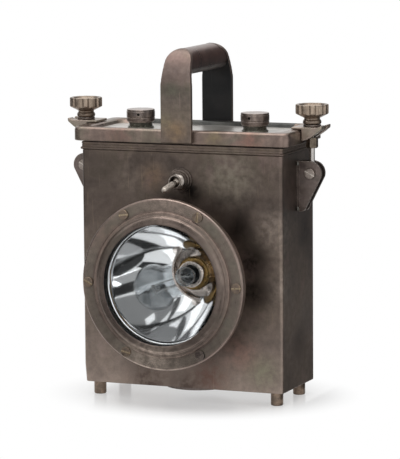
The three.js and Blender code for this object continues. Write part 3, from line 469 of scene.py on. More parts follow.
# Where the hair noise is a scratch, and how steep an edge is rubbed bare
SCRATCH_RANGE = {1: 0.68, 2: 0.74}
EDGE_RANGE = {1: 0.995, 2: 0.86}
# How much the sheen changes from cloud to cloud and from ring to ring
SHEEN_REACH = 0.05
RING_REACH = 0.04


def patinated(
    name, tones, patch, metallic=0.85, roughness=0.34, centre=ORIGIN, mottle=0.5, scratches=0.3,
    worn="#a8937e", wear=0.5, patches_and_painted_light=(), shades=None, turned_lines=False,
):
    """Copper alloy or steel darkened in a bath, then oiled and handled: cloudy tones,
    mottling and fine speckle, scratches, and edges rubbed back to a lighter metal.
    Patches are (x, y, z, radius, colour, strength) in millimetres from the centre. Patches and shades carry
    tone and, in some finishes, painted light or shade.
    Shades are (axis, low, high, stops, strength), along "height" or "radius"."""
    material, tree, shader = new_material(name, metallic)
    place = add_node(tree, "TexCoord", out="Object")
    place = add_node(tree, "Mapping", {"Location": [-c * MM for c in centre]}, {"Vector": place})
    clouds = {"Scale": per_mm(patch), "Detail": 3, "Roughness": 0.5, "Distortion": 0.5}
    broad = add_node(tree, "TexNoise", clouds, {"Vector": place})
    grains = {"Scale": per_mm(patch / 6), "Detail": 4, "Roughness": 0.55}
    spots = add_node(tree, "TexNoise", grains, {"Vector": place})
    specks = {"Scale": per_mm(SPECK_SIZE), "Detail": 3, "Roughness": 0.7}
    speck = add_node(tree, "TexNoise", specks, {"Vector": place})
    last = len(tones) - 1
    stops = [(0.5 + NOISE_SPREAD * (i / last - 0.5), linear(tone)) for i, tone in enumerate(tones)]
    colour = add_node(tree, "ValToRGB", {"stops": stops}, {"Fac": broad})
    axes = add_node(tree, "SeparateXYZ", links={0: place}).node.outputs
    flat = add_node(tree, "CombineXYZ", links={0: axes[0], 1: axes[2]})
    radius = add_node(tree, "VectorMath", {"operation": "LENGTH"}, {0: flat}, "Value")
    if shades:
        axis, low, high, shade_stops, strength = shades
        source = radius if axis == "radius" else axes[2]
        along = add_node(tree, "MapRange", {1: low * MM, 2: high * MM}, {0: source})
        stops = [(position, linear(tone)) for position, tone in shade_stops]
        shade = add_node(tree, "ValToRGB", {"stops": stops}, {"Fac": along})
        colour = add_node(tree, "Mix", {"data_type": "RGBA", 0: strength}, {6: colour, 7: shade}, 2)
    broken = add_node(tree, "MapRange", {1: 0.38, 2: 0.58, 3: 0.45, 4: 1}, {0: spots})
    for x, y, z, reach, tone, strength in patches_and_painted_light:
        spot = {"operation": "DISTANCE", 1: (x * MM, y * MM, z * MM)}
        away = add_node(tree, "VectorMath", spot, {0: place}, "Value")
        fading = {"interpolation_type": "SMOOTHSTEP", 1: reach * MM, 2: 0, 3: 0, 4: strength}
        near = add_node(tree, "MapRange", fading, {0: away})
        cover = add_node(tree, "Math", {"operation": "MULTIPLY"}, {0: near, 1: broken})
        colour = add_node(tree, "Mix", {"data_type": "RGBA", 7: linear(tone)}, {0: cover, 6: colour}, 2)
    depths = {}
    for i, (noise, reach) in enumerate(((spots, MOTTLE_REACH), (speck, SPECKLE_REACH))):
        swing = {**NOISE_RANGE, 3: 1 - reach * mottle, 4: 1 + reach * mottle}
        depths[i] = add_node(tree, "MapRange", swing, {0: noise})
    depth = add_node(tree, "Math", {"operation": "MULTIPLY"}, depths)
    colour = add_node(tree, "VectorMath", {"operation": "SCALE"}, {0: colour, "Scale": depth})
    stretch = {"Scale": (1, 1, 0.03), "Rotation": (0.6, 1.0, 0.3)}
    stretched = add_node(tree, "Mapping", stretch, {"Vector": place})
    hairs = {"Scale": per_mm(SCRATCH_WIDTH), "Detail": 2, "Roughness": 0.5}
    lines = add_node(tree, "TexNoise", hairs, {"Vector": stretched})
    scratched = add_node(tree, "MapRange", {**SCRATCH_RANGE, 3: 0, 4: scratches}, {0: lines})
    rounded = add_node(tree, "Bevel", {"samples": 6, "Radius": WORN_EDGE * MM})
    facing = add_node(tree, "NewGeometry", out="Normal")
    level = add_node(tree, "VectorMath", {"operation": "DOT_PRODUCT"}, {0: rounded, 1: facing}, "Value")
    edge = add_node(tree, "MapRange", {**EDGE_RANGE, 3: 0, 4: wear}, {0: level})
    rubbed = add_node(tree, "MapRange", {1: 0.42, 2: 0.62, 3: 0.15, 4: 1}, {0: spots})
    edge = add_node(tree, "Math", {"operation": "MULTIPLY"}, {0: edge, 1: rubbed})
    bare = add_node(tree, "Math", {"operation": "MAXIMUM"}, {0: edge, 1: scratched})
    colour = add_node(tree, "Mix", {"data_type": "RGBA", 7: linear(worn)}, {0: bare, 6: colour}, 2)
    tree.links.new(colour, shader.inputs["Base Color"])
    gloss = {**NOISE_RANGE, 3: roughness - SHEEN_REACH, 4: roughness + SHEEN_REACH}
    sheen = add_node(tree, "MapRange", gloss, {0: broad})
    relief = speck
    if turned_lines:
        ring = add_node(tree, "CombineXYZ", links={0: radius})
        turning = {"Scale": per_mm(LATHE_PITCH), "Detail": 2, "Roughness": 0.6}
        marks = add_node(tree, "TexNoise", turning, {"Vector": ring})
        marks = add_node(tree, "MapRange", {**NOISE_RANGE, 3: -RING_REACH, 4: RING_REACH}, {0: marks})
        sheen = add_node(tree, "Math", {"operation": "ADD"}, {0: sheen, 1: marks})
        relief = add_node(tree, "Math", {"operation": "ADD"}, {0: speck, 1: marks})
    tree.links.new(sheen, shader.inputs["Roughness"])
    bump = add_node(tree, "Bump", {"Strength": 0.25, "Distance": SPECK_RELIEF * MM}, {"Height": relief})
    dents = {"Strength": 0.2, "Distance": DENT_RELIEF * MM}
    surface = add_node(tree, "Bump", dents, {"Height": broad, "Normal": bump})
    tree.links.new(surface, shader.inputs["Normal"])
    return material


def plain_finish(name, tone, metallic, roughness, speck, variation=0.15):
    """One even finish with fine variation in its colour and sheen."""
    material, tree, shader = new_material(name, metallic)
    place = add_node(tree, "TexCoord", out="Object")
    grains = {"Scale": per_mm(speck), "Detail": 4, "Roughness": 0.6}
    noise = add_node(tree, "TexNoise", grains, {"Vector": place})
    *middle_tone, alpha = linear(tone)
    low = [c * (1 - variation) for c in middle_tone] + [alpha]
    high = [min(c * (1 + variation), 1) for c in middle_tone] + [alpha]
    colour = add_node(tree, "ValToRGB", {"stops": [(0.3, low), (0.7, high)]}, {"Fac": noise})
    tree.links.new(colour, shader.inputs["Base Color"])
    gloss = {**NOISE_RANGE, 3: roughness * 0.8, 4: roughness * 1.25}
    sheen = add_node(tree, "MapRange", gloss, {0: noise})
    tree.links.new(sheen, shader.inputs["Roughness"])
    return material


def clear_glass(name, tint):
    material, _, shader = new_material(name, 0, 0)
    for key, value in (("Base Color", linear(tint)), ("Transmission Weight", 1), ("IOR", 1.5)):
        shader.inputs[key].default_value = value
    return material


LAMP_PLACE = (0, in_mm(case_low.y), 116.6)
SWITCH_PLACE = (0, 0, 208)

# Sheet brass, blackened in a bath and oiled: brown-grey with olive, rosy and rusty clouds. Its height ramp is
# painted light: lighter low down as a painted reflection of the bright floor, darker higher up as painted
# shade.
case_patina_and_painted_light = patinated(
    "blackened_sheet_brass_painted_light", ["#4c413d", "#695c55", "#827369", "#72665a", "#957f79"],
    patch=40, roughness=0.38, centre=LAMP_PLACE, mottle=0.4,
    shades=("height", -104, 126, [
        (0.0, "#a6968b"), (0.2, "#9d8e84"), (0.38, "#887a6f"), (0.56, "#6e625a"), (0.76, "#574e48"),
        (0.92, "#4e4640"), (1.0, "#73665d"),
    ], 0.64),
    # Patches: stains, and painted light. The black ones right of the lamp are the drum's painted shadow, and
    # the one below the switch is its nut's painted shadow. The dark ones low in the middle are painted shade
    # under the lamp ring. The pale ones at the right edge and lower left of the front are painted light, and
    # the dark ones on the right side are painted shade away from the light.
    patches_and_painted_light=[
        (-28, 0, 94, 20, "#806957", 0.6), (-52, 0, 91, 24, "#766a61", 0.5), (49, 0, 96, 38, "#857d70", 0.8),
        (-12, 0, 72, 24, "#2f2825", 0.8), (8, 0, 74, 20, "#302723", 0.7), (-86, 0, 100, 36, "#4c443f", 0.5),
        (80, 0, -84, 24, "#8f9276", 0.5), (58, 0, -67, 26, "#b08578", 0.5), (28, 0, -92, 30, "#6a4c43", 0.8),
        (92, 0, 44, 34, "#9a8d82", 0.75), (-34, 0, -100, 36, "#3f302b", 0.85),
        (96, 0, 108, 24, "#786a62", 0.6), (4, 0, -104, 30, "#3d2f2a", 0.8), (-84, 0, 20, 30, "#867a70", 0.4),
        (98, 0, -4, 34, "#9a8d82", 0.7), (68, 0, 18, 24, "#050404", 0.9), (70, 0, -10, 22, "#050404", 0.9),
        (58, 0, 46, 20, "#0d0a09", 0.6), (11, 0, 82, 15, "#0d0a09", 0.95), (-64, 0, 60, 30, "#564a45", 0.5),
        (100, 60, 41, 26, "#241e1e", 0.7), (100, 46, -60, 28, "#352d2a", 0.5),
        (100, 22, 96, 32, "#221d1d", 0.5),
    ],
)
# Cast gunmetal under the same bath: rosier, with smoother and wider clouds
cast_bronze = patinated(
    "blackened_gunmetal", ["#7d7068", "#93857b", "#a3948a", "#978e80", "#a08f86"],
    patch=36, roughness=0.32, mottle=0.3, scratches=0.2, worn="#c0aa98",
)
# The tray lid: the same casting, with painted shade on its ends under the lugs
lid_gunmetal_and_shade = patinated(
    "lid_gunmetal_painted_shade", ["#6c5d56", "#7f6f67", "#8b7a71", "#7e7469", "#8a766e"],
    patch=40, roughness=0.32, scratches=0.2, worn="#c0aa98",
    # The two dark patches at the ends are painted shade under the lugs; the others are stains on the front
    # wall
    patches_and_painted_light=[
        (109, 20, 248, 22, "#3a2f2d", 0.8), (-109, 20, 248, 18, "#4a3f3b", 0.6),
        (36, -28, 247, 16, "#7d7256", 0.7), (72, -28, 248, 18, "#92685c", 0.6),
        (-60, -28, 246, 22, "#7a5f56", 0.6), (-28, -28, 248, 14, "#6f6a5a", 0.6),
    ],
)
# Painted shade for the lid's far rim behind the handle: a dull blue-black
rim_painted_shade = patinated(
    "far_rim_painted_shade", ["#3a3a38", "#474745", "#53524e"],
    patch=30, metallic=0.8, roughness=0.4, mottle=0.4, scratches=0.2, worn="#7d7a74", wear=0.3,
)
# Gunmetal turned on the lathe before the bath: fine rings. The radial bands are partly turned finish and
# partly painted light: painted highlights on the step and the outer edge, and painted shade inside the
# opening.
ring_gunmetal_painted_light = patinated(
    "turned_gunmetal_painted_light", ["#63554f", "#766760", "#7f7067", "#6f6a5f"],
    patch=30, roughness=0.3, centre=LAMP_PLACE, mottle=0.35, scratches=0.2, worn="#a08d86", turned_lines=True,
    shades=("radius", 54, 81, [
        (0.0, "#463d39"), (0.08, "#5c524d"), (0.22, "#6a6059"), (0.40, "#766a62"), (0.48, "#8f7d73"),
        (0.52, "#655a53"), (0.62, "#756e64"), (0.82, "#7a7268"), (0.93, "#93827a"), (1.0, "#93827a"),
    ], 0.65),
    # The pale patches at the bottom and top of the ring are painted light; the bottom one is a painted
    # reflection of the floor
    patches_and_painted_light=[
        (-10, -42, -76, 52, "#cdbcae", 0.75), (10, -42, 76, 44, "#9c8a80", 0.6),
        (-60, -40, 48, 30, "#8a7268", 0.5),
    ],
)
# The straps: rusty and warm low down, olive half way up, rosy where the hand polishes. The darker band where
# a strap starts to bend is painted shade laid over its highlight.
handle_gunmetal_and_shade = patinated(
    "handled_gunmetal_painted_shade", ["#655a53", "#776a61", "#7f7269", "#777061"],
    patch=26, roughness=0.42, mottle=0.4, worn="#a9958a", wear=0.7,
    shades=("height", 243, 330, [
        (0.0, "#6f635a"), (0.16, "#776a5f"), (0.32, "#756a5f"), (0.46, "#6a615a"), (0.56, "#615c53"),
        (0.66, "#7c6c66"), (0.78, "#80706a"), (0.9, "#7b6660"), (1.0, "#76665f"),
    ], 0.7),
    patches_and_painted_light=[
        (0, -33, 254, 15, "#927a5e", 0.8), (-10, -33, 262, 10, "#8d8064", 0.5),
        (-4, -33, 293, 13, "#5f5e52", 0.7), (-2, -33, 306, 1.6, "#d8cdc0", 0.9),
    ],
)
# Where no hand or rag reaches, the bath's black is still whole. The same black is painted shade on the wall
# of the lamp's opening and painted shadow on one screw's right cheek.
black_bath_and_painted_shade = patinated(
    "unworn_black_and_painted_shade", ["#141415", "#1a1a1b", "#201f1f"],
    patch=30, metallic=0.5, roughness=0.42, mottle=0.3, scratches=0.1, worn="#5b544d", wear=0.4,
)
# Leather-brown lacquer over the grip. Its height ramp is painted light: painted shade along the underside, a
# pale grey band as a painted reflection of the lid and floor below, and a lighter crown as a painted
# highlight.
grip_lacquer_painted_light = patinated(
    "lacquered_grip_painted_light", ["#563e37", "#6f534b", "#846a62"],
    patch=22, metallic=0.7, roughness=0.3, mottle=0.4, worn="#8b7568", wear=0.4,
    shades=("height", 305, 330, [
        (0.0, "#1d1b1a"), (0.06, "#a5a29e"), (0.17, "#918e8b"), (0.25, "#33201c"), (0.6, "#4c3029"),
        (0.88, "#5a433b"), (1.0, "#8d817b"),
    ], 0.75),
)
# Turned bronze, handled until the high places shine through. Its height ramp darkens the neck under the wide
# head and the top face, as painted shade.
nut_bronze_and_shade = patinated(
    "handled_bronze_painted_shade", ["#7b6c60", "#938273", "#a89988", "#9d8d80"],
    patch=12, metallic=0.9, roughness=0.36, mottle=0.25, scratches=0.2, worn="#c9bba9", wear=0.7,
    shades=("height", 258, 278, [
        (0.0, "#4a413c"), (0.28, "#5f544d"), (0.42, "#8d7d70"), (0.9, "#a39484"), (1.0, "#80756b"),
    ], 0.55),
)
# Brass screws that took the bath with the ring: brown, gold along their rims
screw_brass = patinated(
    "screw_brass", ["#655a52", "#7d6f64", "#867668", "#71665c"],
    patch=6, metallic=0.9, mottle=0.3, scratches=0.4, worn="#c9ad80", wear=0.8,
)
# Turned steel, oxidised brown, with bright scuffs
cap_steel = patinated(
    "browned_steel", ["#564c48", "#6d625c", "#7b6f68", "#69605c"],
    patch=14, roughness=0.32, scratches=0.5, worn="#a79a8f", wear=0.7,
)
# Cap tops: a paler tone that is painted light, the light the tops catch from above and from the backdrop
cap_top_painted_light = patinated(
    "cap_top_painted_light", ["#8f8580", "#a89d97", "#b8ada6"],
    patch=10, metallic=0.8, mottle=0.3, scratches=0.4, worn="#d8d2cc", wear=0.6,
)
# The lid's hollow: a pale tone that is a painted reflection of the bright backdrop, seen at a grazing angle
tray_floor_painted_reflection = patinated(
    "tray_floor_painted_reflection", ["#aba6a0", "#c3beb8", "#d3cec7"],
    patch=40, metallic=0.6, mottle=0.3, worn="#c2bbb3", wear=0.3,
)
# Brass gone green-grey round the fillers, bright on its ribs
neck_brass = patinated(
    "greened_neck_brass", ["#4a4a41", "#62625a", "#6f6e66"], patch=8, worn="#b9b3a6", wear=0.8,
)
# Forged steel, browned, with pale rubbed edges
bracket_steel = patinated(
    "browned_bracket_steel", ["#5d534f", "#70655f", "#7b6f6a", "#6c645e"],
    patch=18, mottle=0.3, worn="#c9bdb2", wear=1,
)
# Turned pins: the bath's brown, warmer and thinner
foot_bronze = patinated(
    "foot_bronze", ["#5c4e44", "#766558", "#887667", "#706358"],
    patch=10, roughness=0.32, mottle=0.4, wear=0.6,
)
# Nickel rubbed thin over brass, on the switch
switch_nickel = patinated(
    "rubbed_nickel", ["#7d7269", "#9a8f86", "#b0a69e"],
    patch=5, metallic=0.9, roughness=0.36, mottle=0.4, worn="#d9d4cd", wear=0.9,
)
# The switch's nut and plate: browned with the case, with a painted shadow at the lower right and painted
# light at the upper left
switch_brown_painted_light = patinated(
    "browned_switch_nut_painted_light", ["#3f3733", "#5a504a", "#6b6059"],
    patch=9, roughness=0.32, worn="#b8aca0", wear=1, centre=SWITCH_PLACE,
    patches_and_painted_light=[(10, -24, -8, 12, "#0d0b0a", 0.9), (-8, -24, 8, 10, "#8d8077", 0.6)],
)
# Steel screw heads, browned and rubbed nearly bare
pivot_steel = patinated(
    "rubbed_screw_steel", ["#7f756e", "#9a8f87", "#a89d95"],
    patch=6, metallic=0.9, mottle=0.3, scratches=0.4, worn="#d9d0c6", wear=0.9,
)
# Bronze nuts dark with grease, their corners bright
stop_bronze = patinated(
    "greasy_nut_bronze", ["#4c443c", "#6a6054", "#7b7063"],
    patch=5, roughness=0.36, worn="#b9ab98", wear=0.9,
)
# Steel rod, zinc plated: even, light and clean
bright_steel = plain_finish("zinc_plated_steel", "#b8b4b0", 0.95, 0.28, 3)
# Knurled nickel, its glints broken up
lever_nickel = plain_finish("knurled_nickel", "#b5aca2", 0.9, 0.42, 1.5, 0.25)
# Metal that a driver bared in the slots
slot_brass = plain_finish("driven_slot_brass", "#b9a88f", 0.9, 0.3, 1, 0.3)
slot_steel = plain_finish("driven_slot_steel", "#f1e9e0", 0.6, 0.4, 1, 0.05)
# The socket: nickel flash on its lip, yellow lacquered brass behind
rim_nickel = plain_finish("flashed_nickel", "#dccfc6", 0.95, 0.25, 3, 0.1)
collar_brass = plain_finish("lacquered_brass", "#9a7c4c", 0.95, 0.3, 9, 0.15)
# Solder run out at the brackets' corners: grey and lumpy
soft_solder = plain_finish("soft_solder", "#77756f", 0.9, 0.4, 1, 0.4)
# Drawn tungsten: a pale thin wire
tungsten = plain_finish("tungsten_wire", "#c9c7c4", 0.9, 0.35, 1)
# Black insulation: matt rubber, and moulded ebonite with a slight sheen
black_rubber = plain_finish("black_rubber", "#1c1b1a", 0, 0.75, 2)
ebonite = plain_finish("moulded_ebonite", "#262524", 0, 0.45, 5)
# Silvered sheet, spun to a parabola: a mirror with faint haze
mirror_silver = plain_finish("silvered_sheet", "#f5f5f6", 1, 0.06, 14, 0.02)
# Polished plate glass: clear
lens_glass = clear_glass("polished_lens_glass", "#fbfdfd")
# Blown glass, greyed inside by the filament's metal
bulb_glass = clear_glass("blown_bulb_glass", "#dee1e3")


def dress(piece, material, body, node=None):
    """Gives a new piece its finish and the body that it rides on, and hides the node that it stands for."""
    piece.data.materials.clear()
    piece.data.materials.append(material)
    for face in piece.data.polygons:
        face.material_index = 0
    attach(piece, body)
    if node:
        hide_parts(node)
    return piece


def second_finish(piece, material, test):
    """Gives the faces of a dressed piece that pass a test another finish."""
    piece.data.materials.append(material)
    for face in piece.data.polygons:
        if test(face):
            face.material_index = len(piece.data.materials) - 1


def refinish(node, material):
    """Gives a CAD node that stays its procedural finish."""
    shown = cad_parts[node]
    shown.data.materials.clear()
    shown.data.materials.append(material)


def facing_front(
    name, profile, material, node=None, centre=case_front, ring=True, steps=TURNED_STEPS, angle=32,
):
    """A turned part of the lamp head or the switch, dressed. Heights run forward from the case."""
    piece = turned(name, profile, centre, FORWARD, ring, steps)
    shaded(piece, angle)
    return dress(piece, material, "housing", node)


# The case: a folded sheet box, open at the top, with the lamp's and the switch's holes

CASE_WALL = 2.5
CASE_EDGE = 3
CASE_FOOT_EDGE = 0.9
LAMP_HOLE = 44
SWITCH_HOLE = 6.8
# The near corner is knocked in at its foot
DENT_HEIGHT = 17
DENT_DEPTH = 1.3
DENT_FROM_X = -96


def case_shell():
    shell = block(case_low, case_high)
    shell.name = "case_box"
    edit(shell)
    round_edges(shell, CASE_EDGE, 6, lambda e: abs(e.verts[0].co.z - e.verts[1].co.z) > MM)
    round_edges(shell, CASE_FOOT_EDGE, 3, lambda e: middle(e).z < case_low.z + HAIR)
    pick(shell, "FACE", lambda f: f.normal.z > 0.9)
    bpy.ops.mesh.inset(thickness=CASE_WALL * MM)
    depth = case_high.z - case_low.z - CASE_WALL * MM
    bpy.ops.mesh.extrude_region_move(TRANSFORM_OT_translate={"value": (0, 0, -depth)})
    leave_edit()
    lamp_hole = peg(LAMP_HOLE, -WALL_CUT, WALL_CUT, case_front, FORWARD, TURNED_STEPS)
    switch_hole = peg(SWITCH_HOLE, -WALL_CUT, WALL_CUT, switch_front, FORWARD)
    carved(shell, lamp_hole, switch_hole)
    edit(shell)
    select_mesh()
    bpy.ops.mesh.bisect(plane_co=(0, 0, case_low.z + DENT_HEIGHT * MM), plane_no=(0, 0, 1))
    pick(shell, "VERT", lambda v: v.co.x < DENT_FROM_X * MM and v.co.y < 0 and v.co.z < case_low.z + 3 * MM)
    bpy.ops.transform.translate(value=(DENT_DEPTH * MM, 0, 0))
    leave_edit()
    shaded(shell)
    dress(shell, case_patina_and_painted_light, "housing", "case_shell")


# The band's steps: height above its seat, and how far they stand out from the case
BAND_STEPS = [
    (0, 0), (0.4, 1.3), (0.9, 1.6), (1.8, 1.6), (2.3, 1.3), (2.6, 0.5), (4.7, 0.5), (4.9, 0.2), (5.2, 0.2),
    (5.4, 0.7),
]
BAND_BORE = -8


def neck_band():
    seat = in_mm(case_high.z) + SEAT_GAP
    top = heights("neck_band")[1]
    width = in_mm(case_high.x - case_low.x)
    depth = in_mm(case_high.y - case_low.y)
    outline = rounded_rectangle(width / 2, depth / 2, CASE_EDGE)

    def levels(steps):
        return [(height, width + 2 * out, depth + 2 * out) for height, out in steps]

    steps = [(seat + rise, out) for rise, out in BAND_STEPS] + [(top - 0.3, 0.7), (top, 0.4)]
    band = stacked("neck_band_ring", outline, levels(steps), case_middle)
    through = levels([(seat - 10, BAND_BORE), (top + 10, BAND_BORE)])
    carved(band, stacked("band_bore", outline, through, case_middle))
    shaded(band)
    dress(band, case_patina_and_painted_light, "housing", "neck_band")


LID_CORNER = 9
LID_EDGE = 3.4
LID_RIM = 9.5
LID_END_RIM = 14
LID_WALL = 14
LID_FLOOR = 3.4
TRAY_CORNER = 13
TRAY_DEPTH = 4
TRAY_SLOPE = 5
TRAY_LIP = 2.0
VENT_HOLE = 10.7
# The stretch of the far rim that gets painted shade
SHADE_FROM_X = -60 * MM
SHADE_TO_X = 50 * MM
vent_x = centre_of("vent_cap_right").x


def lid_tray():
    low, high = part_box("lid")
    width = in_mm(high.x - low.x)
    depth = in_mm(high.y - low.y)
    bottom, top = heights("lid")
    place = Vector((0, (low.y + high.y) / 2, 0))
    outline = rounded_rectangle(width / 2, depth / 2, LID_CORNER, 8)
    tray = stacked("lid_tray", outline, [(bottom, width, depth), (top, width, depth)], place)
    edit(tray)
    round_edges(tray, LID_EDGE, 6, lambda e: middle(e).z > high.z - HAIR)
    round_edges(tray, 0.8, 3, lambda e: middle(e).z < low.z + HAIR)
    leave_edit()
    wide = width - 2 * LID_END_RIM
    deep = depth - 2 * LID_RIM
    floor = top - TRAY_DEPTH
    hollow = stacked("tray_hollow", rounded_rectangle(wide / 2, deep / 2, TRAY_CORNER, 8), [
        (floor, wide, deep), (top - 1.2, wide + TRAY_SLOPE * 0.6, deep + TRAY_SLOPE * 0.6),
        (top, wide + TRAY_SLOPE, deep + TRAY_SLOPE), (top + PAST, wide + TRAY_SLOPE, deep + TRAY_SLOPE),
    ], place)
    pocket_wide = width - 2 * LID_WALL
    pocket_deep = depth - 2 * LID_WALL
    under = stacked("lid_pocket", rounded_rectangle(pocket_wide / 2, pocket_deep / 2, 4), [
        (bottom - PAST, pocket_wide, pocket_deep), (floor - LID_FLOOR, pocket_wide, pocket_deep),
    ], place)
    carved(tray, hollow, under)
    edit(tray)

    def on_tray_lip(edge):
        spot = middle(edge)
        inside = abs(spot.x) < (width / 2 - 8) * MM and abs(spot.y - place.y) < (depth / 2 - 4.5) * MM
        return spot.z > high.z - HAIR and inside

    round_edges(tray, TRAY_LIP, 5, on_tray_lip)
    leave_edit()
    carved(tray, *[peg(VENT_HOLE, floor - 10, top + 10, (sign * vent_x, place.y, 0)) for sign in (-1, 1)])
    shaded(tray)
    dress(tray, lid_gunmetal_and_shade, "housing", "lid")
    floor_z = (floor + 0.3) * MM
    rear_y = place.y + (deep / 2 - 1) * MM

    def on_the_floor(face):
        return face.normal.z > 0.9 and floor_z - 0.6 * MM < face.center.z < floor_z

    def behind_the_handle(face):
        in_the_stretch = SHADE_FROM_X < face.center.x < SHADE_TO_X
        return face.center.y > rear_y and face.center.z > floor_z and in_the_stretch

    # The tray's floor gets the pale painted reflection
    second_finish(tray, tray_floor_painted_reflection, on_the_floor)
    # The far rim behind the handle gets painted shade
    second_finish(tray, rim_painted_shade, behind_the_handle)


VENT_SIDES = (("left", -1), ("right", 1))
VENT_RIB = [(10.6, 0), (10.6, 0.25), (11.3, 0.6), (11.3, 0.8)]
VENT_RIB_PITCH = 1.2


def vent_necks():
    bottom, top = heights("vent_neck_right")
    flange = heights("lid")[1] - TRAY_DEPTH + SEAT_GAP
    ribs, height = ridged(flange + 1.1, top - 0.5, VENT_RIB_PITCH, VENT_RIB)
    profile = [(6, bottom), (10.3, bottom), (10.3, flange), (12.4, flange), (12.4, flange + 0.8)]
    profile += [(12.1, flange + 1.1)] + ribs + [(10.6, height), (10.2, top), (6, top)]
    neck = turned("vent_neck_thread", profile, ring=True, steps=72)
    for side, sign in VENT_SIDES:
        piece = copied(neck, f"vent_thread_{side}")
        settle(piece, (sign * vent_x, case_middle_y, 0))
        shaded(piece)
        dress(piece, neck_brass, "housing", f"vent_neck_{side}")
    bpy.data.objects.remove(neck)


VENT_HOLE_DROP = 4.4
VENT_HOLE_RADIUS = 1.35
VENT_HOLE_TURNS = {"left": math.radians(13), "right": math.radians(-3)}


def vent_caps():
    bottom, top = heights("vent_cap_right")
    groove = top - 7.5
    cap = turned("vent_cap_blank", eased([
        (0, top - 2.2), (11.7, top - 2.2), (11.7, bottom), (12.2, bottom, 0.2), (13.2, bottom + 1.4, 0.6),
        (13.2, bottom + 3.1, 0.3), (13.4, bottom + 3.4, 0.2), (13.4, groove - 0.5, 0.2), (12.9, groove, 0.15),
        (13.4, groove + 0.5, 0.2), (13.4, top - 2.2, 0.3), (13.15, top - 1.9, 0.2), (13.15, top, 0.7),
        (0, top),
    ]))
    for side, sign in VENT_SIDES:
        piece = copied(cap, f"vent_dome_{side}")
        carved(piece, peg(VENT_HOLE_RADIUS, 0, 16, (0, 0, (top - VENT_HOLE_DROP) * MM), FORWARD, 24))
        settle(piece, (sign * vent_x, case_middle_y, 0), (0, 0, VENT_HOLE_TURNS[side]))
        shaded(piece)
        dress(piece, cap_steel, f"cap_{side}", f"vent_cap_{side}")
        # The cap tops get the paler painted-light finish
        second_finish(piece, cap_top_painted_light, lambda f: f.normal.z > 0.7 and f.center.z > (top - 2) * MM)
    bpy.data.objects.remove(cap)


# The handle: two straps that bend over into the grip

HANDLE_SHOULDER = 33.5
HANDLE_SWEEP = 20
HANDLE_TOP_RADIUS = 13
STRAP_WIDTH = 30.2
STRAP_THICKNESS = 5
STRAP_SHOULDER = 12
# How wide the blanks and tools are that shape straps and grip
FACE_CUT = 140
GRIP_BLANK = 120
ROOM_CUT = 40
GRIP_WIDTH = 25
GRIP_HEIGHT = 24.5
GRIP_CORNER = 10
GRIP_PLAY = 0.15
handle_bottom, handle_top = heights("handle_front_leg")
handle_reach = in_mm(case_middle_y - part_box("handle_front_leg")[0].y)
shoulder_z = handle_top - HANDLE_SHOULDER


def bend_over(inset):
    """How a strap bends over, at a depth in its metal: points of distance inward and height."""
    top = handle_top - inset
    reach = HANDLE_SWEEP - inset
    rise = top - shoulder_z
    return bent([(0, shoulder_z), (0, shoulder_z + 0.45 * rise), (0.5 * reach, top), (reach, top)], 20)


def handle_straps():
    side = [(-handle_reach, handle_bottom)]
    side += [(x - handle_reach, z) for x, z in bend_over(0)]
    side += [(x - handle_reach + STRAP_THICKNESS, z) for x, z in reversed(bend_over(STRAP_THICKNESS))]
    side.append((STRAP_THICKNESS - handle_reach, handle_bottom))
    strap = along_x("handle_strap", side, STRAP_WIDTH + 6)
    half = STRAP_WIDTH / 2
    face = [(half, handle_bottom - PAST), (half, shoulder_z, STRAP_SHOULDER)]
    face += arc(0, handle_top - HANDLE_TOP_RADIUS, HANDLE_TOP_RADIUS, 0, math.pi, 32)
    face += [(-half, shoulder_z, STRAP_SHOULDER), (-half, handle_bottom - PAST)]
    carved(strap, along_y("strap_face", eased(face, 6), FACE_CUT), operation="INTERSECT")
    cast(strap, 0.45, 6)
    for end, turn, inward in (("front", 0, 1), ("rear", math.pi, -1)):
        piece = copied(strap, f"handle_strap_{end}")
        settle(piece, case_middle, (0, 0, turn))
        dress(piece, handle_gunmetal_and_shade, "housing", f"handle_{end}_leg")
        second_finish(piece, black_bath_and_painted_shade, lambda face: face.normal.y * inward > 0.4)
    bpy.data.objects.remove(strap)


def handle_grip():
    half = GRIP_WIDTH / 2
    top = heights("handle_grip")[1]
    bottom = top - GRIP_HEIGHT
    section = [(half - GRIP_CORNER - 1, bottom), (half, bottom, GRIP_CORNER)]
    section += arc(0, top - half, half, 0, math.pi, 40)
    section += [(-half, bottom, GRIP_CORNER), (GRIP_CORNER + 1 - half, bottom)]
    grip = along_y("grip_bar", eased(section, 8), GRIP_BLANK)
    wall = handle_reach - STRAP_THICKNESS - GRIP_PLAY
    near_end = [(x - wall, z - GRIP_PLAY) for x, z in bend_over(STRAP_THICKNESS)]
    crown_y = near_end[-1][0]
    room = near_end + [(crown_y, handle_top + PAST), (-crown_y, handle_top + PAST)]
    room += [(-y, z) for y, z in reversed(near_end)]
    room += [(wall, shoulder_z - PAST), (-wall, shoulder_z - PAST)]
    carved(grip, along_x("grip_room", room, ROOM_CUT), operation="INTERSECT")
    shaded(grip)
    settle(grip, case_middle)
    dress(grip, grip_lacquer_painted_light, "housing", "handle_grip")


# The clamps, modelled for the right end with X outward from the bolt's axis

LUG_WIDTH = 25.5
LUG_PAD = 9.5
LUG_FOOT = 12.7
LUG_WEB = 2.2
CHANNEL_HALF = 7.1
CHANNEL_ROOF = 3.2
BOLT_RADIUS = 2.5
BOLT_PLAY = 0.7
lug_low, lug_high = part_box("lug_right")
bracket_low, bracket_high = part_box("bracket_right")
bracket_width = in_mm(bracket_high.y - bracket_low.y)
bolt_axis_x = in_mm(centre_of("thumb_nut_right").x)
washer_bottom, washer_top = heights("clamp_washer_right")
seat_z = washer_bottom - SEAT_GAP
pin_z = in_mm(centre_of("pivot_screw_right").z)
pin_place = Vector((0, 0, pin_z * MM))


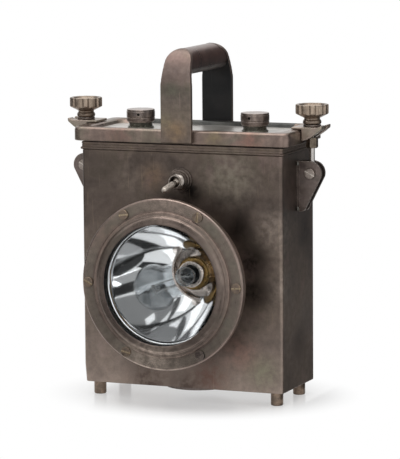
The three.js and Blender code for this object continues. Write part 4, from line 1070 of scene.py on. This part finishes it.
def both_ends(piece, name, material, body, node=None):
    """Copies a piece made for the bolt's axis to the two ends, half round from each other."""
    for side, sign, turn in (("right", 1, 0), ("left", -1, math.pi)):
        twin = copied(piece, f"{name}_{side}")
        settle(twin, (sign * bolt_axis_x * MM, case_middle_y, 0), (0, 0, turn))
        dress(twin, material, body.replace("*", side), node and node.replace("*", side))
    bpy.data.objects.remove(piece)


def block_mm(low, high):
    return block(Vector(low) * MM, Vector(high) * MM)


def lugs():
    inner = in_mm(lug_low.x) - bolt_axis_x
    tip = in_mm(lug_high.x) - bolt_axis_x
    lid_edge = in_mm(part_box("lid")[1].x) - bolt_axis_x + SEAT_GAP
    run = tip - LUG_PAD
    start = (lid_edge, seat_z - LUG_FOOT)
    bend = (lid_edge + (tip - lid_edge) * 0.36, seat_z - 12.3)
    end = (tip - run * 0.04, seat_z - 1.5)
    outline = [(inner, seat_z - LUG_WEB), (lid_edge, seat_z - LUG_WEB)] + bent([start, bend, end], 16)
    outline += [(tip, seat_z + 1.0, 0.5), (tip - run * 0.12, seat_z + 1.6, 0.6)]
    outline += [(tip - run * 0.33, seat_z + 1.4, 1.2), (LUG_PAD, seat_z, 3), (inner, seat_z, 0.6)]
    lug = along_y("lug_body", eased(outline), LUG_WIDTH)
    slot_half = BOLT_RADIUS + BOLT_PLAY
    slot = block_mm((0, -slot_half, seat_z - FAR_CUT), (FAR_CUT, slot_half, seat_z + NEAR_CUT))
    slot_end = peg(slot_half, seat_z - FAR_CUT, seat_z + NEAR_CUT)
    low = (-CHANNEL_HALF, -CHANNEL_HALF, seat_z - FAR_CUT)
    channel = block_mm(low, (FAR_CUT, CHANNEL_HALF, seat_z - CHANNEL_ROOF))
    carved(lug, slot, slot_end, channel)
    cast(lug, 0.4, 5)
    both_ends(lug, "forked_lug", cast_bronze, "housing", "lug_*")


BRACKET_EYE = 11
BRACKET_GAP = 3.4
BRACKET_BACK = 2.5
BRACKET_EAR = 1.4
PIN_HOLE = 2.7
SOLDER_RADIUS = 1.5


def brackets():
    back = in_mm(bracket_low.x) - bolt_axis_x
    foot, top = heights("bracket_right")
    outline = [(back, top), (back, foot), (back + 7.7, foot, 4.5), (10.34, pin_z - 3.74)]
    outline += arc(0, pin_z, BRACKET_EYE, math.radians(-20), math.radians(73), 12) + [(1.1, top, 2)]
    body = along_y("bracket_body", eased(outline, 8), bracket_width)
    low = (back + BRACKET_BACK, -BRACKET_GAP, foot - NEAR_CUT)
    slot = block_mm(low, (FAR_CUT, BRACKET_GAP, top + NEAR_CUT))
    hole = peg(PIN_HOLE, -NEAR_CUT, NEAR_CUT, pin_place, FORWARD)
    carved(body, slot, hole)
    for side in (-1, 1):
        near, far = sorted((side * bracket_width, side * (bracket_width / 2 - BRACKET_EAR)))
        carved(body, block_mm((back - PAST, near, foot - PAST), (back + 3.2, far, top + PAST)))
    softened(body, 0.5)
    both_ends(body, "clamp_bracket", bracket_steel, "housing", "bracket_*")
    spots = []
    for side in (-1, 1):
        for height in (foot + 2.2, top - 2.6):
            place = Vector((back + 1.1, side * (bracket_width / 2 - 1.2), height)) * MM
            spots.append(added(
                bpy.ops.mesh.primitive_uv_sphere_add, "spot", segments=24, ring_count=12,
                radius=SOLDER_RADIUS * MM, location=place, scale=(0.8, 0.6, 1.5),
            ))
    solder = joined("solder_spots", *spots)
    modified(solder, "SUBSURF", levels=1, render_levels=1)
    shaded(solder, 60)
    both_ends(solder, "solder_spots", soft_solder, "housing")


def slotted_screw(name, radius, thickness, rounding, shank, reach, slot_width, slot_depth, slot_angle):
    """A cheese-head screw along Z, its head from zero upward, with a saw-cut slot."""
    profile = eased([
        (0, -reach), (shank, -reach), (shank, 0), (radius, 0, 0.1), (radius, thickness, rounding),
        (0, thickness),
    ], 5)
    screw = turned(name, profile, steps=SMALL_STEPS)
    half = slot_width / 2
    slot = block_mm((-radius * 2, -half, thickness - slot_depth), (radius * 2, half, thickness + PAST))
    carved(screw, slot)
    shaded(screw)
    return settle(screw, ORIGIN, (0, 0, math.radians(slot_angle)))


def bright_slot(screw, metal, ahead):
    """Shows the bare metal that a driver leaves in a screw's slot."""
    floor_y = min(v.co.y for v in screw.data.vertices) + ahead * MM
    second_finish(screw, metal, lambda face: face.normal.y < -0.9 and face.center.y > floor_y)


def hex_nut(name, flats, height, bore, place, turn, chamfer=0.7):
    """A six-sided nut with its corners turned off at both ends and a plain bore."""
    corner = flats / math.sqrt(3)
    blank = peg(corner, 0, height, sides=6)
    envelope = turned("nut_envelope", [
        (0, 0), (flats / 2 - 0.1, 0), (corner + 0.05, chamfer), (corner + 0.05, height - chamfer),
        (flats / 2 - 0.1, height), (0, height),
    ], steps=SMALL_STEPS)
    carved(blank, envelope, operation="INTERSECT")
    carved(blank, peg(bore, -PAST, height + PAST))
    blank.name = name
    softened(blank, 0.18, 2)
    return settle(blank, place, turn)


PIVOT_ENDS = (("right", 1), ("left", -1))
PIVOT_HEAD = (5.1, 2.6, 0.9)
PIVOT_SLOT = (1.3, 1.2, -28)
ear_reach = (bracket_width / 2 + SEAT_GAP) * MM


def pivots():
    """The screw through each bracket, its head to the front, and the nut behind it."""
    for side, sign in PIVOT_ENDS:
        screw = slotted_screw(f"pivot_pin_{side}", *PIVOT_HEAD, 2.4, bracket_width + 4.3, *PIVOT_SLOT)
        settle(screw, (sign * bolt_axis_x * MM, case_middle_y - ear_reach, pin_z * MM), FORWARD)
        dress(screw, pivot_steel, "housing", f"pivot_screw_{side}")
        bright_slot(screw, slot_steel, 0.8)
    for side, sign in PIVOT_ENDS:
        place = (sign * bolt_axis_x * MM, case_middle_y + ear_reach, pin_z * MM)
        nut = hex_nut(f"pivot_hexagon_{side}", 8.5, 3.4, PIN_HOLE, place, (-math.pi / 2, 0, 0))
        dress(nut, bracket_steel, "housing", f"pivot_nut_{side}")


BOLT_THREAD_DROP = 14
BOLT_THREAD = [(2.1, 0.2), (2.1, 0.32), (BOLT_RADIUS, 0.68)]
BOLT_PITCH = 0.8
EYE_BORE = 2.8


def swing_bolts():
    top = heights("swing_bolt_right")[1]
    start = seat_z - BOLT_THREAD_DROP
    thread = ridged(start, top - 0.5, BOLT_PITCH, BOLT_THREAD)[0]
    profile = [(0, pin_z), (BOLT_RADIUS, pin_z), (BOLT_RADIUS, start)] + thread
    bolt = turned("bolt_shank", profile + [(BOLT_RADIUS, top - 0.5), (2.0, top), (0, top)], steps=32)
    eye = turned(
        "bolt_eye", eased([(EYE_BORE, -3), (6.2, -3, 1.2), (6.2, 3, 1.2), (EYE_BORE, 3)]),
        pin_place, FORWARD, ring=True, steps=SMALL_STEPS,
    )
    bore = peg(EYE_BORE, -10, 10, pin_place, FORWARD)
    carved(bolt, eye, operation="UNION")
    carved(bolt, bore)
    shaded(bolt)
    both_ends(bolt, "eye_bolt", bright_steel, "bolt_*", "swing_bolt_*")


def stop_nuts():
    low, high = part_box("stop_nut_right")
    nut = hex_nut("stop_hexagon", 9.8, in_mm(high.z - low.z), 2.8, (0, 0, low.z), UPRIGHT, 1.1)
    both_ends(nut, "stop_hexagon", stop_bronze, "bolt_*", "stop_nut_*")


def washers():
    ring = turned("washer_ring", eased([
        (2.9, washer_bottom), (8.3, washer_bottom, 0.4), (8.3, washer_top, 0.3), (2.9, washer_top),
    ]), ring=True, steps=SMALL_STEPS)
    shaded(ring)
    both_ends(ring, "flat_washer", bracket_steel, "washer_*", "clamp_washer_*")


NUT_FLUTES = 12
FLUTE_RADIUS = 2.3
FLUTE_CENTRES = 16.3
NUT_TURN = math.radians(-7.7)


def thumb_nuts():
    base, top = heights("thumb_nut_right")
    nut = turned("thumb_nut_blank", eased([
        (2.9, base), (8.8, base, 1.6), (8.5, base + 3.2, 2.0), (7.3, base + 4.7, 1.0), (7.3, base + 5.8, 0.8),
        (14.9, base + 9.6, 0.8), (15.3, base + 10.3, 0.3), (15.3, top, 0.9), (12.2, top, 0.6),
        (11.4, top - 2.2, 0.8), (2.9, top - 2.2),
    ], 5), ring=True)
    for k in range(NUT_FLUTES):
        angle = math.tau * (k + 0.5) / NUT_FLUTES
        spot = Vector((FLUTE_CENTRES * math.cos(angle), FLUTE_CENTRES * math.sin(angle), 0)) * MM
        carved(nut, peg(FLUTE_RADIUS, base + 3, top + PAST, spot, sides=24))
    cast(nut, 0.3, 3)
    settle(nut, ORIGIN, (0, 0, NUT_TURN))
    both_ends(nut, "fluted_nut", nut_bronze_and_shade, "nut_*", "thumb_nut_*")


# The lamp head

BARREL_RADIUS = 62
BARREL_BORE = 59.5
FLANGE_RADIUS = 79.2
FLANGE_THICKNESS = 3.4


def lamp_barrel():
    front = forward("lamp_barrel")[1]
    flange = front - FLANGE_THICKNESS
    facing_front("lamp_drum", eased([
        (BARREL_BORE, SEAT_GAP), (BARREL_RADIUS, SEAT_GAP), (BARREL_RADIUS, flange, 1.5),
        (FLANGE_RADIUS, flange, 0.6), (FLANGE_RADIUS, front, 0.5), (BARREL_BORE, front),
    ]), ring_gunmetal_painted_light, "lamp_barrel", steps=128)


BEZEL_RADIUS = 79.7
BEZEL_SEAT = 59.9
BEZEL_SHOULDER = 63.6
BEZEL_ROLL = 7.3
OPENING_RADIUS = 56.2


def bezel_ring():
    back, lip = forward("bezel_ring")
    face = back + 5
    crown = face + 1.5
    shoulder = crown + 0.7
    profile = [(BEZEL_SEAT, back), (BEZEL_RADIUS, back, 0.4), (BEZEL_RADIUS, face, 2.2)]
    profile += [(67.7, face, 0.4), (67.2, crown, 0.7), (64.4, crown + 0.2, 0.8)]
    profile += [(BEZEL_SHOULDER, shoulder, 0.8)]
    tall = (lip - shoulder) / BEZEL_ROLL
    profile += arc(BEZEL_SHOULDER - BEZEL_ROLL, shoulder, BEZEL_ROLL, math.pi / 14, math.pi / 2, 12, tall)
    profile += [(55.9, lip - 0.15), (55.7, lip - 4.6), (BEZEL_SEAT, lip - 4.6)]
    ring = facing_front("bezel_casting", eased(profile), ring_gunmetal_painted_light, "bezel_ring", steps=160)

    def in_the_opening(face):
        spot = face.center - case_front
        return math.hypot(spot.x, spot.z) / MM < OPENING_RADIUS and abs(face.normal.y) < 0.5

    # The wall of the opening gets the black as painted shade
    second_finish(ring, black_bath_and_painted_shade, in_the_opening)


SCREW_REACH = 9
SCREW_SLOTS = [2, 82, 8, -27, -12, 40]
# One screw is of another make: brown steel, its slot never driven bright
ODD_SCREW = 5


def bezel_screws():
    for i, slot_angle in enumerate(SCREW_SLOTS):
        node = f"bezel_screw_{i + 1}"
        centre = centre_of(node)
        screw = slotted_screw(f"bezel_fixing_{i + 1}", 4.75, 1.5, 0.6, 2, SCREW_REACH, 1.2, 0.9, slot_angle)
        settle(screw, (centre.x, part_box(node)[1].y - SCREW_REACH * MM, centre.z), FORWARD)
        dress(screw, cap_steel if i == ODD_SCREW else screw_brass, "housing", node)
        # The odd screw's right-hand cheek gets the black as painted shadow
        if i == ODD_SCREW:
            second_finish(screw, black_bath_and_painted_shade, lambda face: face.normal.x > 0.5)
        else:
            bright_slot(screw, slot_brass, 0.6)


def lens():
    back, front = forward("lens_glass")
    outline = eased([(0, back), (59.6, back, 0.4), (59.6, front, 0.4), (0, front)])
    facing_front("lens_disc", outline, lens_glass, "lens_glass", ring=False, steps=128)


REFLECTOR_DEPTH = 78
REFLECTOR_RIM = 56.5
REFLECTOR_HOLE = 14.5
REFLECTOR_MOUTH = 54.6
REFLECTOR_STEPS = 48
BEAD_RADIUS = 1.3


def reflector():
    rim = forward("reflector")[1]
    apex = rim - REFLECTOR_DEPTH
    dish = []
    for k in range(REFLECTOR_STEPS + 1):
        radius = REFLECTOR_HOLE + (REFLECTOR_MOUTH - REFLECTOR_HOLE) * k / REFLECTOR_STEPS
        dish.append((radius, apex + REFLECTOR_DEPTH * (radius / REFLECTOR_RIM) ** 2))
    back = [(radius + 1.2, height - 0.3) for radius, height in dish[:-1]]
    bead = arc(REFLECTOR_MOUTH + 1.2, rim - BEAD_RADIUS, BEAD_RADIUS, 1.15 * math.pi, 0, 12)
    profile = dish + bead + [(59.3, rim - 1.3), (59.3, rim - 2.3), (57.7, rim - 2.3)] + back[::-1]
    facing_front("reflector_bowl", profile, mirror_silver, "reflector", steps=160, angle=40)


COLLAR_BACK = -30.4
COLLAR_RADIUS = 14.8
SLEEVE_FRONT = -22.5
SLEEVE_RADIUS = 9.8
SLEEVE_BORE = 9.2
NICKEL_RADIUS = 10.7
EBONITE_RADIUS = 9.4


def lamp_socket():
    back = forward("lamp_socket")[0]
    socket = facing_front("socket_sleeve", eased([
        (0, back), (11, back, 0.5), (11, COLLAR_BACK), (COLLAR_RADIUS, COLLAR_BACK, 0.2),
        (COLLAR_RADIUS, COLLAR_BACK + 0.8, 0.3), (10.6, COLLAR_BACK + 1.2, 0.3),
        (SLEEVE_RADIUS, COLLAR_BACK + 2.4, 0.3), (SLEEVE_RADIUS, SLEEVE_FRONT - 0.8),
        (SLEEVE_BORE, SLEEVE_FRONT - 0.8), (SLEEVE_BORE, back + 1.6), (0, back + 1.6),
    ]), collar_brass, "lamp_socket", ring=False)
    for metal, reach in ((rim_nickel, NICKEL_RADIUS), (ebonite, EBONITE_RADIUS)):
        second_finish(socket, metal, lambda f: math.hypot(f.center.x, f.center.z - case_front.z) < reach * MM)
    facing_front("socket_rim", eased([
        (9.9, SLEEVE_FRONT - 2.0), (12.4, SLEEVE_FRONT - 2.0, 0.9), (12.4, SLEEVE_FRONT, 0.9),
        (9.9, SLEEVE_FRONT, 0.9),
    ]), rim_nickel, angle=60)


BULB_RADIUS = 9.2
BULB_THROAT = 6.6
BULB_WALL = 0.5
BULB_CENTRE = -10
WIRE_RADIUS = 0.35
WIRE_X = 3.2
COIL_HALF = 3.5
COIL_STEP = 0.5


def bulb():
    neck = forward("bulb_glass")[0]
    shells = []
    for name, wall in (("bulb_envelope", 0), ("bulb_hollow", BULB_WALL)):
        radius = BULB_RADIUS - wall
        throat = BULB_THROAT - wall
        outline = [(0, neck + wall), (throat, neck + wall)]
        outline += arc(0, BULB_CENTRE, radius, -math.acos(throat / radius), math.pi / 2, 24)
        shells.append(turned(name, outline, case_front, FORWARD))
    glass, hollow = shells
    carved(glass, hollow)
    shaded(glass, 50)
    dress(glass, bulb_glass, "housing", "bulb_glass")
    wires = [peg(WIRE_RADIUS, neck + 0.7, BULB_CENTRE, (x * MM, 0, 0), sides=12) for x in (-WIRE_X, WIRE_X)]
    coil = [(0.75 if k % 2 else 0.45, -COIL_HALF + k * COIL_STEP) for k in range(15)]
    spiral = turned(
        "filament_coil", [(0, -COIL_HALF)] + coil + [(0, COIL_HALF)],
        (0, 0, BULB_CENTRE * MM), (0, math.pi / 2, 0), steps=16,
    )
    filament = settle(joined("bulb_filament", spiral, *wires), case_front, FORWARD)
    dress(filament, tungsten, "housing")
    facing_front("bulb_stem", eased([
        (0, neck + 0.7), (3.6, neck + 0.7), (2.2, neck + 5, 1.5), (1.3, neck + 8), (0, neck + 8.4),
    ]), bulb_glass, ring=False, steps=24, angle=60)
    back, front = forward("bulb_cap")
    cap = facing_front("bulb_base", eased([
        (0, back), (7.4, back, 0.6), (7.4, front - 1), (8.8, front - 1, 0.2), (8.8, front, 0.3), (0, front),
    ]), collar_brass, "bulb_cap", ring=False)
    second_finish(cap, ebonite, lambda face: face.normal.y < -0.5)


# The toggle switch

PLATE_RADIUS = 11.4
PLATE_BORE = 6.6
BUSHING_RADIUS = 6.3
BUSHING_THREAD = [(5.9, 0.3), (5.9, 0.45), (BUSHING_RADIUS, 0.8)]
BUSHING_PITCH = 1
BUSHING_THREAD_START = 6
BUSHING_DEPTH = 11.5


def switch():
    back, front = forward("switch_plate")
    facing_front("switch_washer", eased([
        (PLATE_BORE, back), (PLATE_RADIUS, back, 0.2), (PLATE_RADIUS, front, 0.6), (PLATE_BORE, front),
    ]), switch_brown_painted_light, "switch_plate", switch_front)
    back, front = forward("switch_nut")
    facing_front("switch_ring_nut", eased([
        (PLATE_BORE, back), (9.6, back), (9.6, back + 1.1, 0.4), (8.7, back + 1.5, 0.2),
        (8.7, front - 1.2, 0.3), (8.0, front, 0.4), (PLATE_BORE, front),
    ]), switch_brown_painted_light, "switch_nut", switch_front)
    back, front = forward("switch_bushing")
    thread = ridged(BUSHING_THREAD_START, front - 1, BUSHING_PITCH, BUSHING_THREAD)[0]
    profile = [(0, back), (BUSHING_RADIUS, back), (BUSHING_RADIUS, BUSHING_THREAD_START)] + thread
    profile += [(BUSHING_RADIUS, front - 0.7), (5.9, front), (5.3, front), (5.2, front - 0.4)]
    profile += [(5.2, front - BUSHING_DEPTH), (0, front - BUSHING_DEPTH)]
    facing_front(
        "switch_sleeve", profile, switch_nickel, "switch_bushing", switch_front, ring=False,
    )


LEVER_THROW = math.radians(20)
LEVER_TURN = math.radians(-35)
LEVER_PIVOT = 8
LEVER_BALL = 4.3
LEVER_ROOT = 1.9
LEVER_TIP = 2.9
KNURL = [(2.95, 0), (2.95, 0.6), (2.75, 0.8), (2.75, 1.0)]
KNURL_PITCH = 1.2


def switch_lever():
    ball = arc(0, 0, LEVER_BALL, -math.pi / 2, math.acos(LEVER_ROOT / LEVER_BALL), 12)
    profile = ball + [(2.5, 7), (2.7, 8)]
    profile += [(radius, 8.6 + k * KNURL_PITCH + rise) for k in range(11) for radius, rise in KNURL]
    profile += [(LEVER_TIP, 21.8)] + arc(0, 22.1, LEVER_TIP, 0, math.pi / 2, 8)
    lever = turned("lever_rod", profile, steps=40)
    shaded(lever, 40)
    turn = Matrix.Rotation(LEVER_TURN, 4, "Z") @ Matrix.Rotation(LEVER_THROW, 4, "X")
    stand = Matrix.Rotation(math.pi / 2, 4, "X")
    place = Matrix.Translation((0, case_low.y - LEVER_PIVOT * MM, switch_front.z))
    lever.data.transform(place @ stand @ turn)
    dress(lever, lever_nickel, "lever", "switch_lever")


# Feet and the disc under the case

FOOT_RADIUS = 5.8
DISC_RADIUS = 33


def feet():
    top = heights("foot_front_left")[1]
    outline = eased([(0, 0), (FOOT_RADIUS, 0, 1.3), (FOOT_RADIUS, top), (0, top)])
    pin = turned("foot_blank", outline, steps=SMALL_STEPS)
    for corner in ("front_left", "front_right", "rear_left", "rear_right"):
        centre = centre_of(f"foot_{corner}")
        piece = copied(pin, f"foot_pin_{corner}")
        settle(piece, (centre.x, centre.y, 0))
        shaded(piece)
        dress(piece, foot_bronze, "housing", f"foot_{corner}")
    bpy.data.objects.remove(pin)


def base_disc():
    low, high = heights("base_disc")
    disc = turned("underside_disc", eased([
        (0, low), (DISC_RADIUS, low, 0.8), (DISC_RADIUS, high), (0, high),
    ]), case_middle)
    shaded(disc)
    dress(disc, bracket_steel, "housing", "base_disc")


for build in (
    case_shell, neck_band, lid_tray, vent_necks, vent_caps, handle_straps, handle_grip, lugs, brackets,
    pivots, swing_bolts, stop_nuts, washers, thumb_nuts, lamp_barrel, bezel_ring, bezel_screws, lens,
    reflector, lamp_socket, bulb, switch, switch_lever, feet, base_disc,
):
    build()

for node in ("lid_gasket", "lens_gasket", "lead_feed", "lead_lamp", "lead_return"):
    refinish(node, black_rubber)
for node in ("cell_left", "cell_right", "switch_body"):
    refinish(node, ebonite)
refinish("cell_link", bright_steel)

# Floor, world and lamps; their lengths are in metres

FLOOR_SIZE = 12
FLOOR_TONE = "#f8f8f8"
FLOOR_GLOSS = 0.18
# Round the object the floor shows its shadow, and further out it is white
NEAR_FLOOR = 0.07
FAR_FLOOR = 0.135
NEAR_WHITE = 0.4
FLOOR_OVAL = (0.85, 1, 1)
WORLD_LIGHT = 0.28
LIGHT_AIM = Vector((0, 0, 0.15))


def seen_or_mirrored(tree):
    """One for rays that carry the background to the eye: straight, by metal or by glass."""
    rays = add_node(tree, "LightPath").node.outputs
    bounced = {0: rays["Is Glossy Ray"], 1: rays["Is Transmission Ray"]}
    mirrored = add_node(tree, "Math", {"operation": "MAXIMUM"}, bounced)
    return add_node(tree, "Math", {"operation": "MAXIMUM"}, {0: rays["Is Camera Ray"], 1: mirrored})


def floor():
    plane = added(bpy.ops.mesh.primitive_plane_add, "studio_floor", size=FLOOR_SIZE)
    material, tree, shader = new_material("white_acrylic", 0, FLOOR_GLOSS)
    shader.inputs["Base Color"].default_value = linear(FLOOR_TONE)
    place = add_node(tree, "TexCoord", out="Object")
    oval = add_node(tree, "Mapping", {"Location": -case_middle, "Scale": FLOOR_OVAL}, {"Vector": place})
    reach = add_node(tree, "VectorMath", {"operation": "LENGTH"}, {0: oval}, "Value")
    fading = {"interpolation_type": "SMOOTHSTEP", 1: NEAR_FLOOR, 2: FAR_FLOOR, 3: NEAR_WHITE, 4: 1}
    far = add_node(tree, "MapRange", fading, {0: reach})
    shown = add_node(tree, "Math", {"operation": "MULTIPLY"}, {0: seen_or_mirrored(tree), 1: far})
    white = add_node(tree, "Emission", {"Color": grey(1), "Strength": 1})
    mixed = add_node(tree, "MixShader", links={0: shown, 1: shader.outputs[0], 2: white})
    tree.links.new(mixed, tree.nodes["Material Output"].inputs["Surface"])
    plane.data.materials.append(material)


def studio_world():
    world = bpy.data.worlds.new("studio")
    bpy.context.scene.world = world
    world.use_nodes = True
    tree = world.node_tree
    light = tree.nodes["Background"]
    light.inputs["Color"].default_value = grey(1)
    light.inputs["Strength"].default_value = WORLD_LIGHT
    white = add_node(tree, "Background", {"Color": grey(1), "Strength": 1})
    mixed = add_node(tree, "MixShader", links={0: seen_or_mirrored(tree), 1: light.outputs[0], 2: white})
    tree.links.new(mixed, tree.nodes["World Output"].inputs["Surface"])


def aimed(thing, place, way):
    """Puts a lamp or a card in its place, with its face across the way."""
    thing.location = place
    thing.rotation_euler = way.to_track_quat("Z", "Y").to_euler()


def softbox(name, azimuth, elevation, distance, width, height, power):
    data = bpy.data.lights.new(name, "AREA")
    data.shape = "RECTANGLE"
    data.size = width
    data.size_y = height
    data.energy = power
    way = bearing(azimuth, elevation)
    aimed(linked(name, data), way * distance + LIGHT_AIM, way)


def grey_card(name, place, way, width, height, tone):
    """A card out of the camera's sight, which only metal and glass mirror."""
    card = added(bpy.ops.mesh.primitive_plane_add, name, size=1)
    card.scale = (width, height, 1)
    settle(card)
    aimed(card, place, way)
    material, tree, _ = new_material(f"{name}_paper")
    paper = add_node(tree, "Emission", {"Color": grey(tone), "Strength": 1})
    tree.links.new(paper, tree.nodes["Material Output"].inputs["Surface"])
    card.data.materials.append(material)
    card.visible_camera = False
    card.visible_diffuse = False
    card.visible_shadow = False


def standing_card(name, azimuth, elevation, distance, width, height, tone):
    way = bearing(azimuth, elevation)
    grey_card(name, lamp_centre + way * distance, way, width, height, tone)


def lying_card(name, low_x, low_y, high_x, high_y, height, tone):
    place = Vector(((low_x + high_x) / 2, (low_y + high_y) / 2, height))
    grey_card(name, place, Vector((0, 0, 1)), high_x - low_x, high_y - low_y, tone)


floor()
studio_world()

# Azimuth, elevation, distance, width, height and power
softbox("key_left", -34, 24, 1.6, 0.9, 0.7, 6)
softbox("top", 10, 82, 1.5, 1.8, 1.6, 17)

# Azimuth, elevation, distance, width, height and tone
for card in (
    ("card_left", -51, -2, 1.1, 0.56, 0.8, 0.03),
    ("card_far_left", -92, 12, 1.2, 1.1, 0.9, 0.08),
    ("card_front", -31, 20, 1.2, 0.72, 0.78, 0.45),
    ("card_dark", -5, 28, 1.15, 0.32, 0.62, 0.03),
    ("card_bright", 24, 5, 1.2, 0.62, 0.42, 1.7),
    ("card_over", -5, 50, 1.25, 1.35, 0.24, 0.05),
):
    standing_card(*card)

# Two that stand or lie askew; the lens mirrors the second to the camera, and its dark keeps the glass clear
grey_card("card_right", Vector((0.29, 0.36, 0.304)), bearing(140, 0), 0.75, 0.6, 0.15)
grey_card("mat_glass", Vector((-0.3, -0.82, 0.005)), bearing(-22, 89.9), 0.2, 0.9, 0.03)

# Two corners, height above the floor and tone
for card in (
    ("mat_front", -0.535, -0.445, 0.215, -0.105, 0.004, 0.28),
    ("mat_right", 0.103, -0.02, 0.42, 0.42, 0.004, 0.08),
    ("mat_far_right", 0.12, -0.75, 0.62, -0.4, 0.004, 0.12),
    ("bounce_front", 0.05, -0.178, 0.112, -0.14, 0.006, 1.2),
    ("bounce_far", 0.03, -0.53, 0.12, -0.4, 0.006, 1.2),
):
    lying_card(*card)

scene = bpy.context.scene
scene.view_settings.view_transform = "Standard"
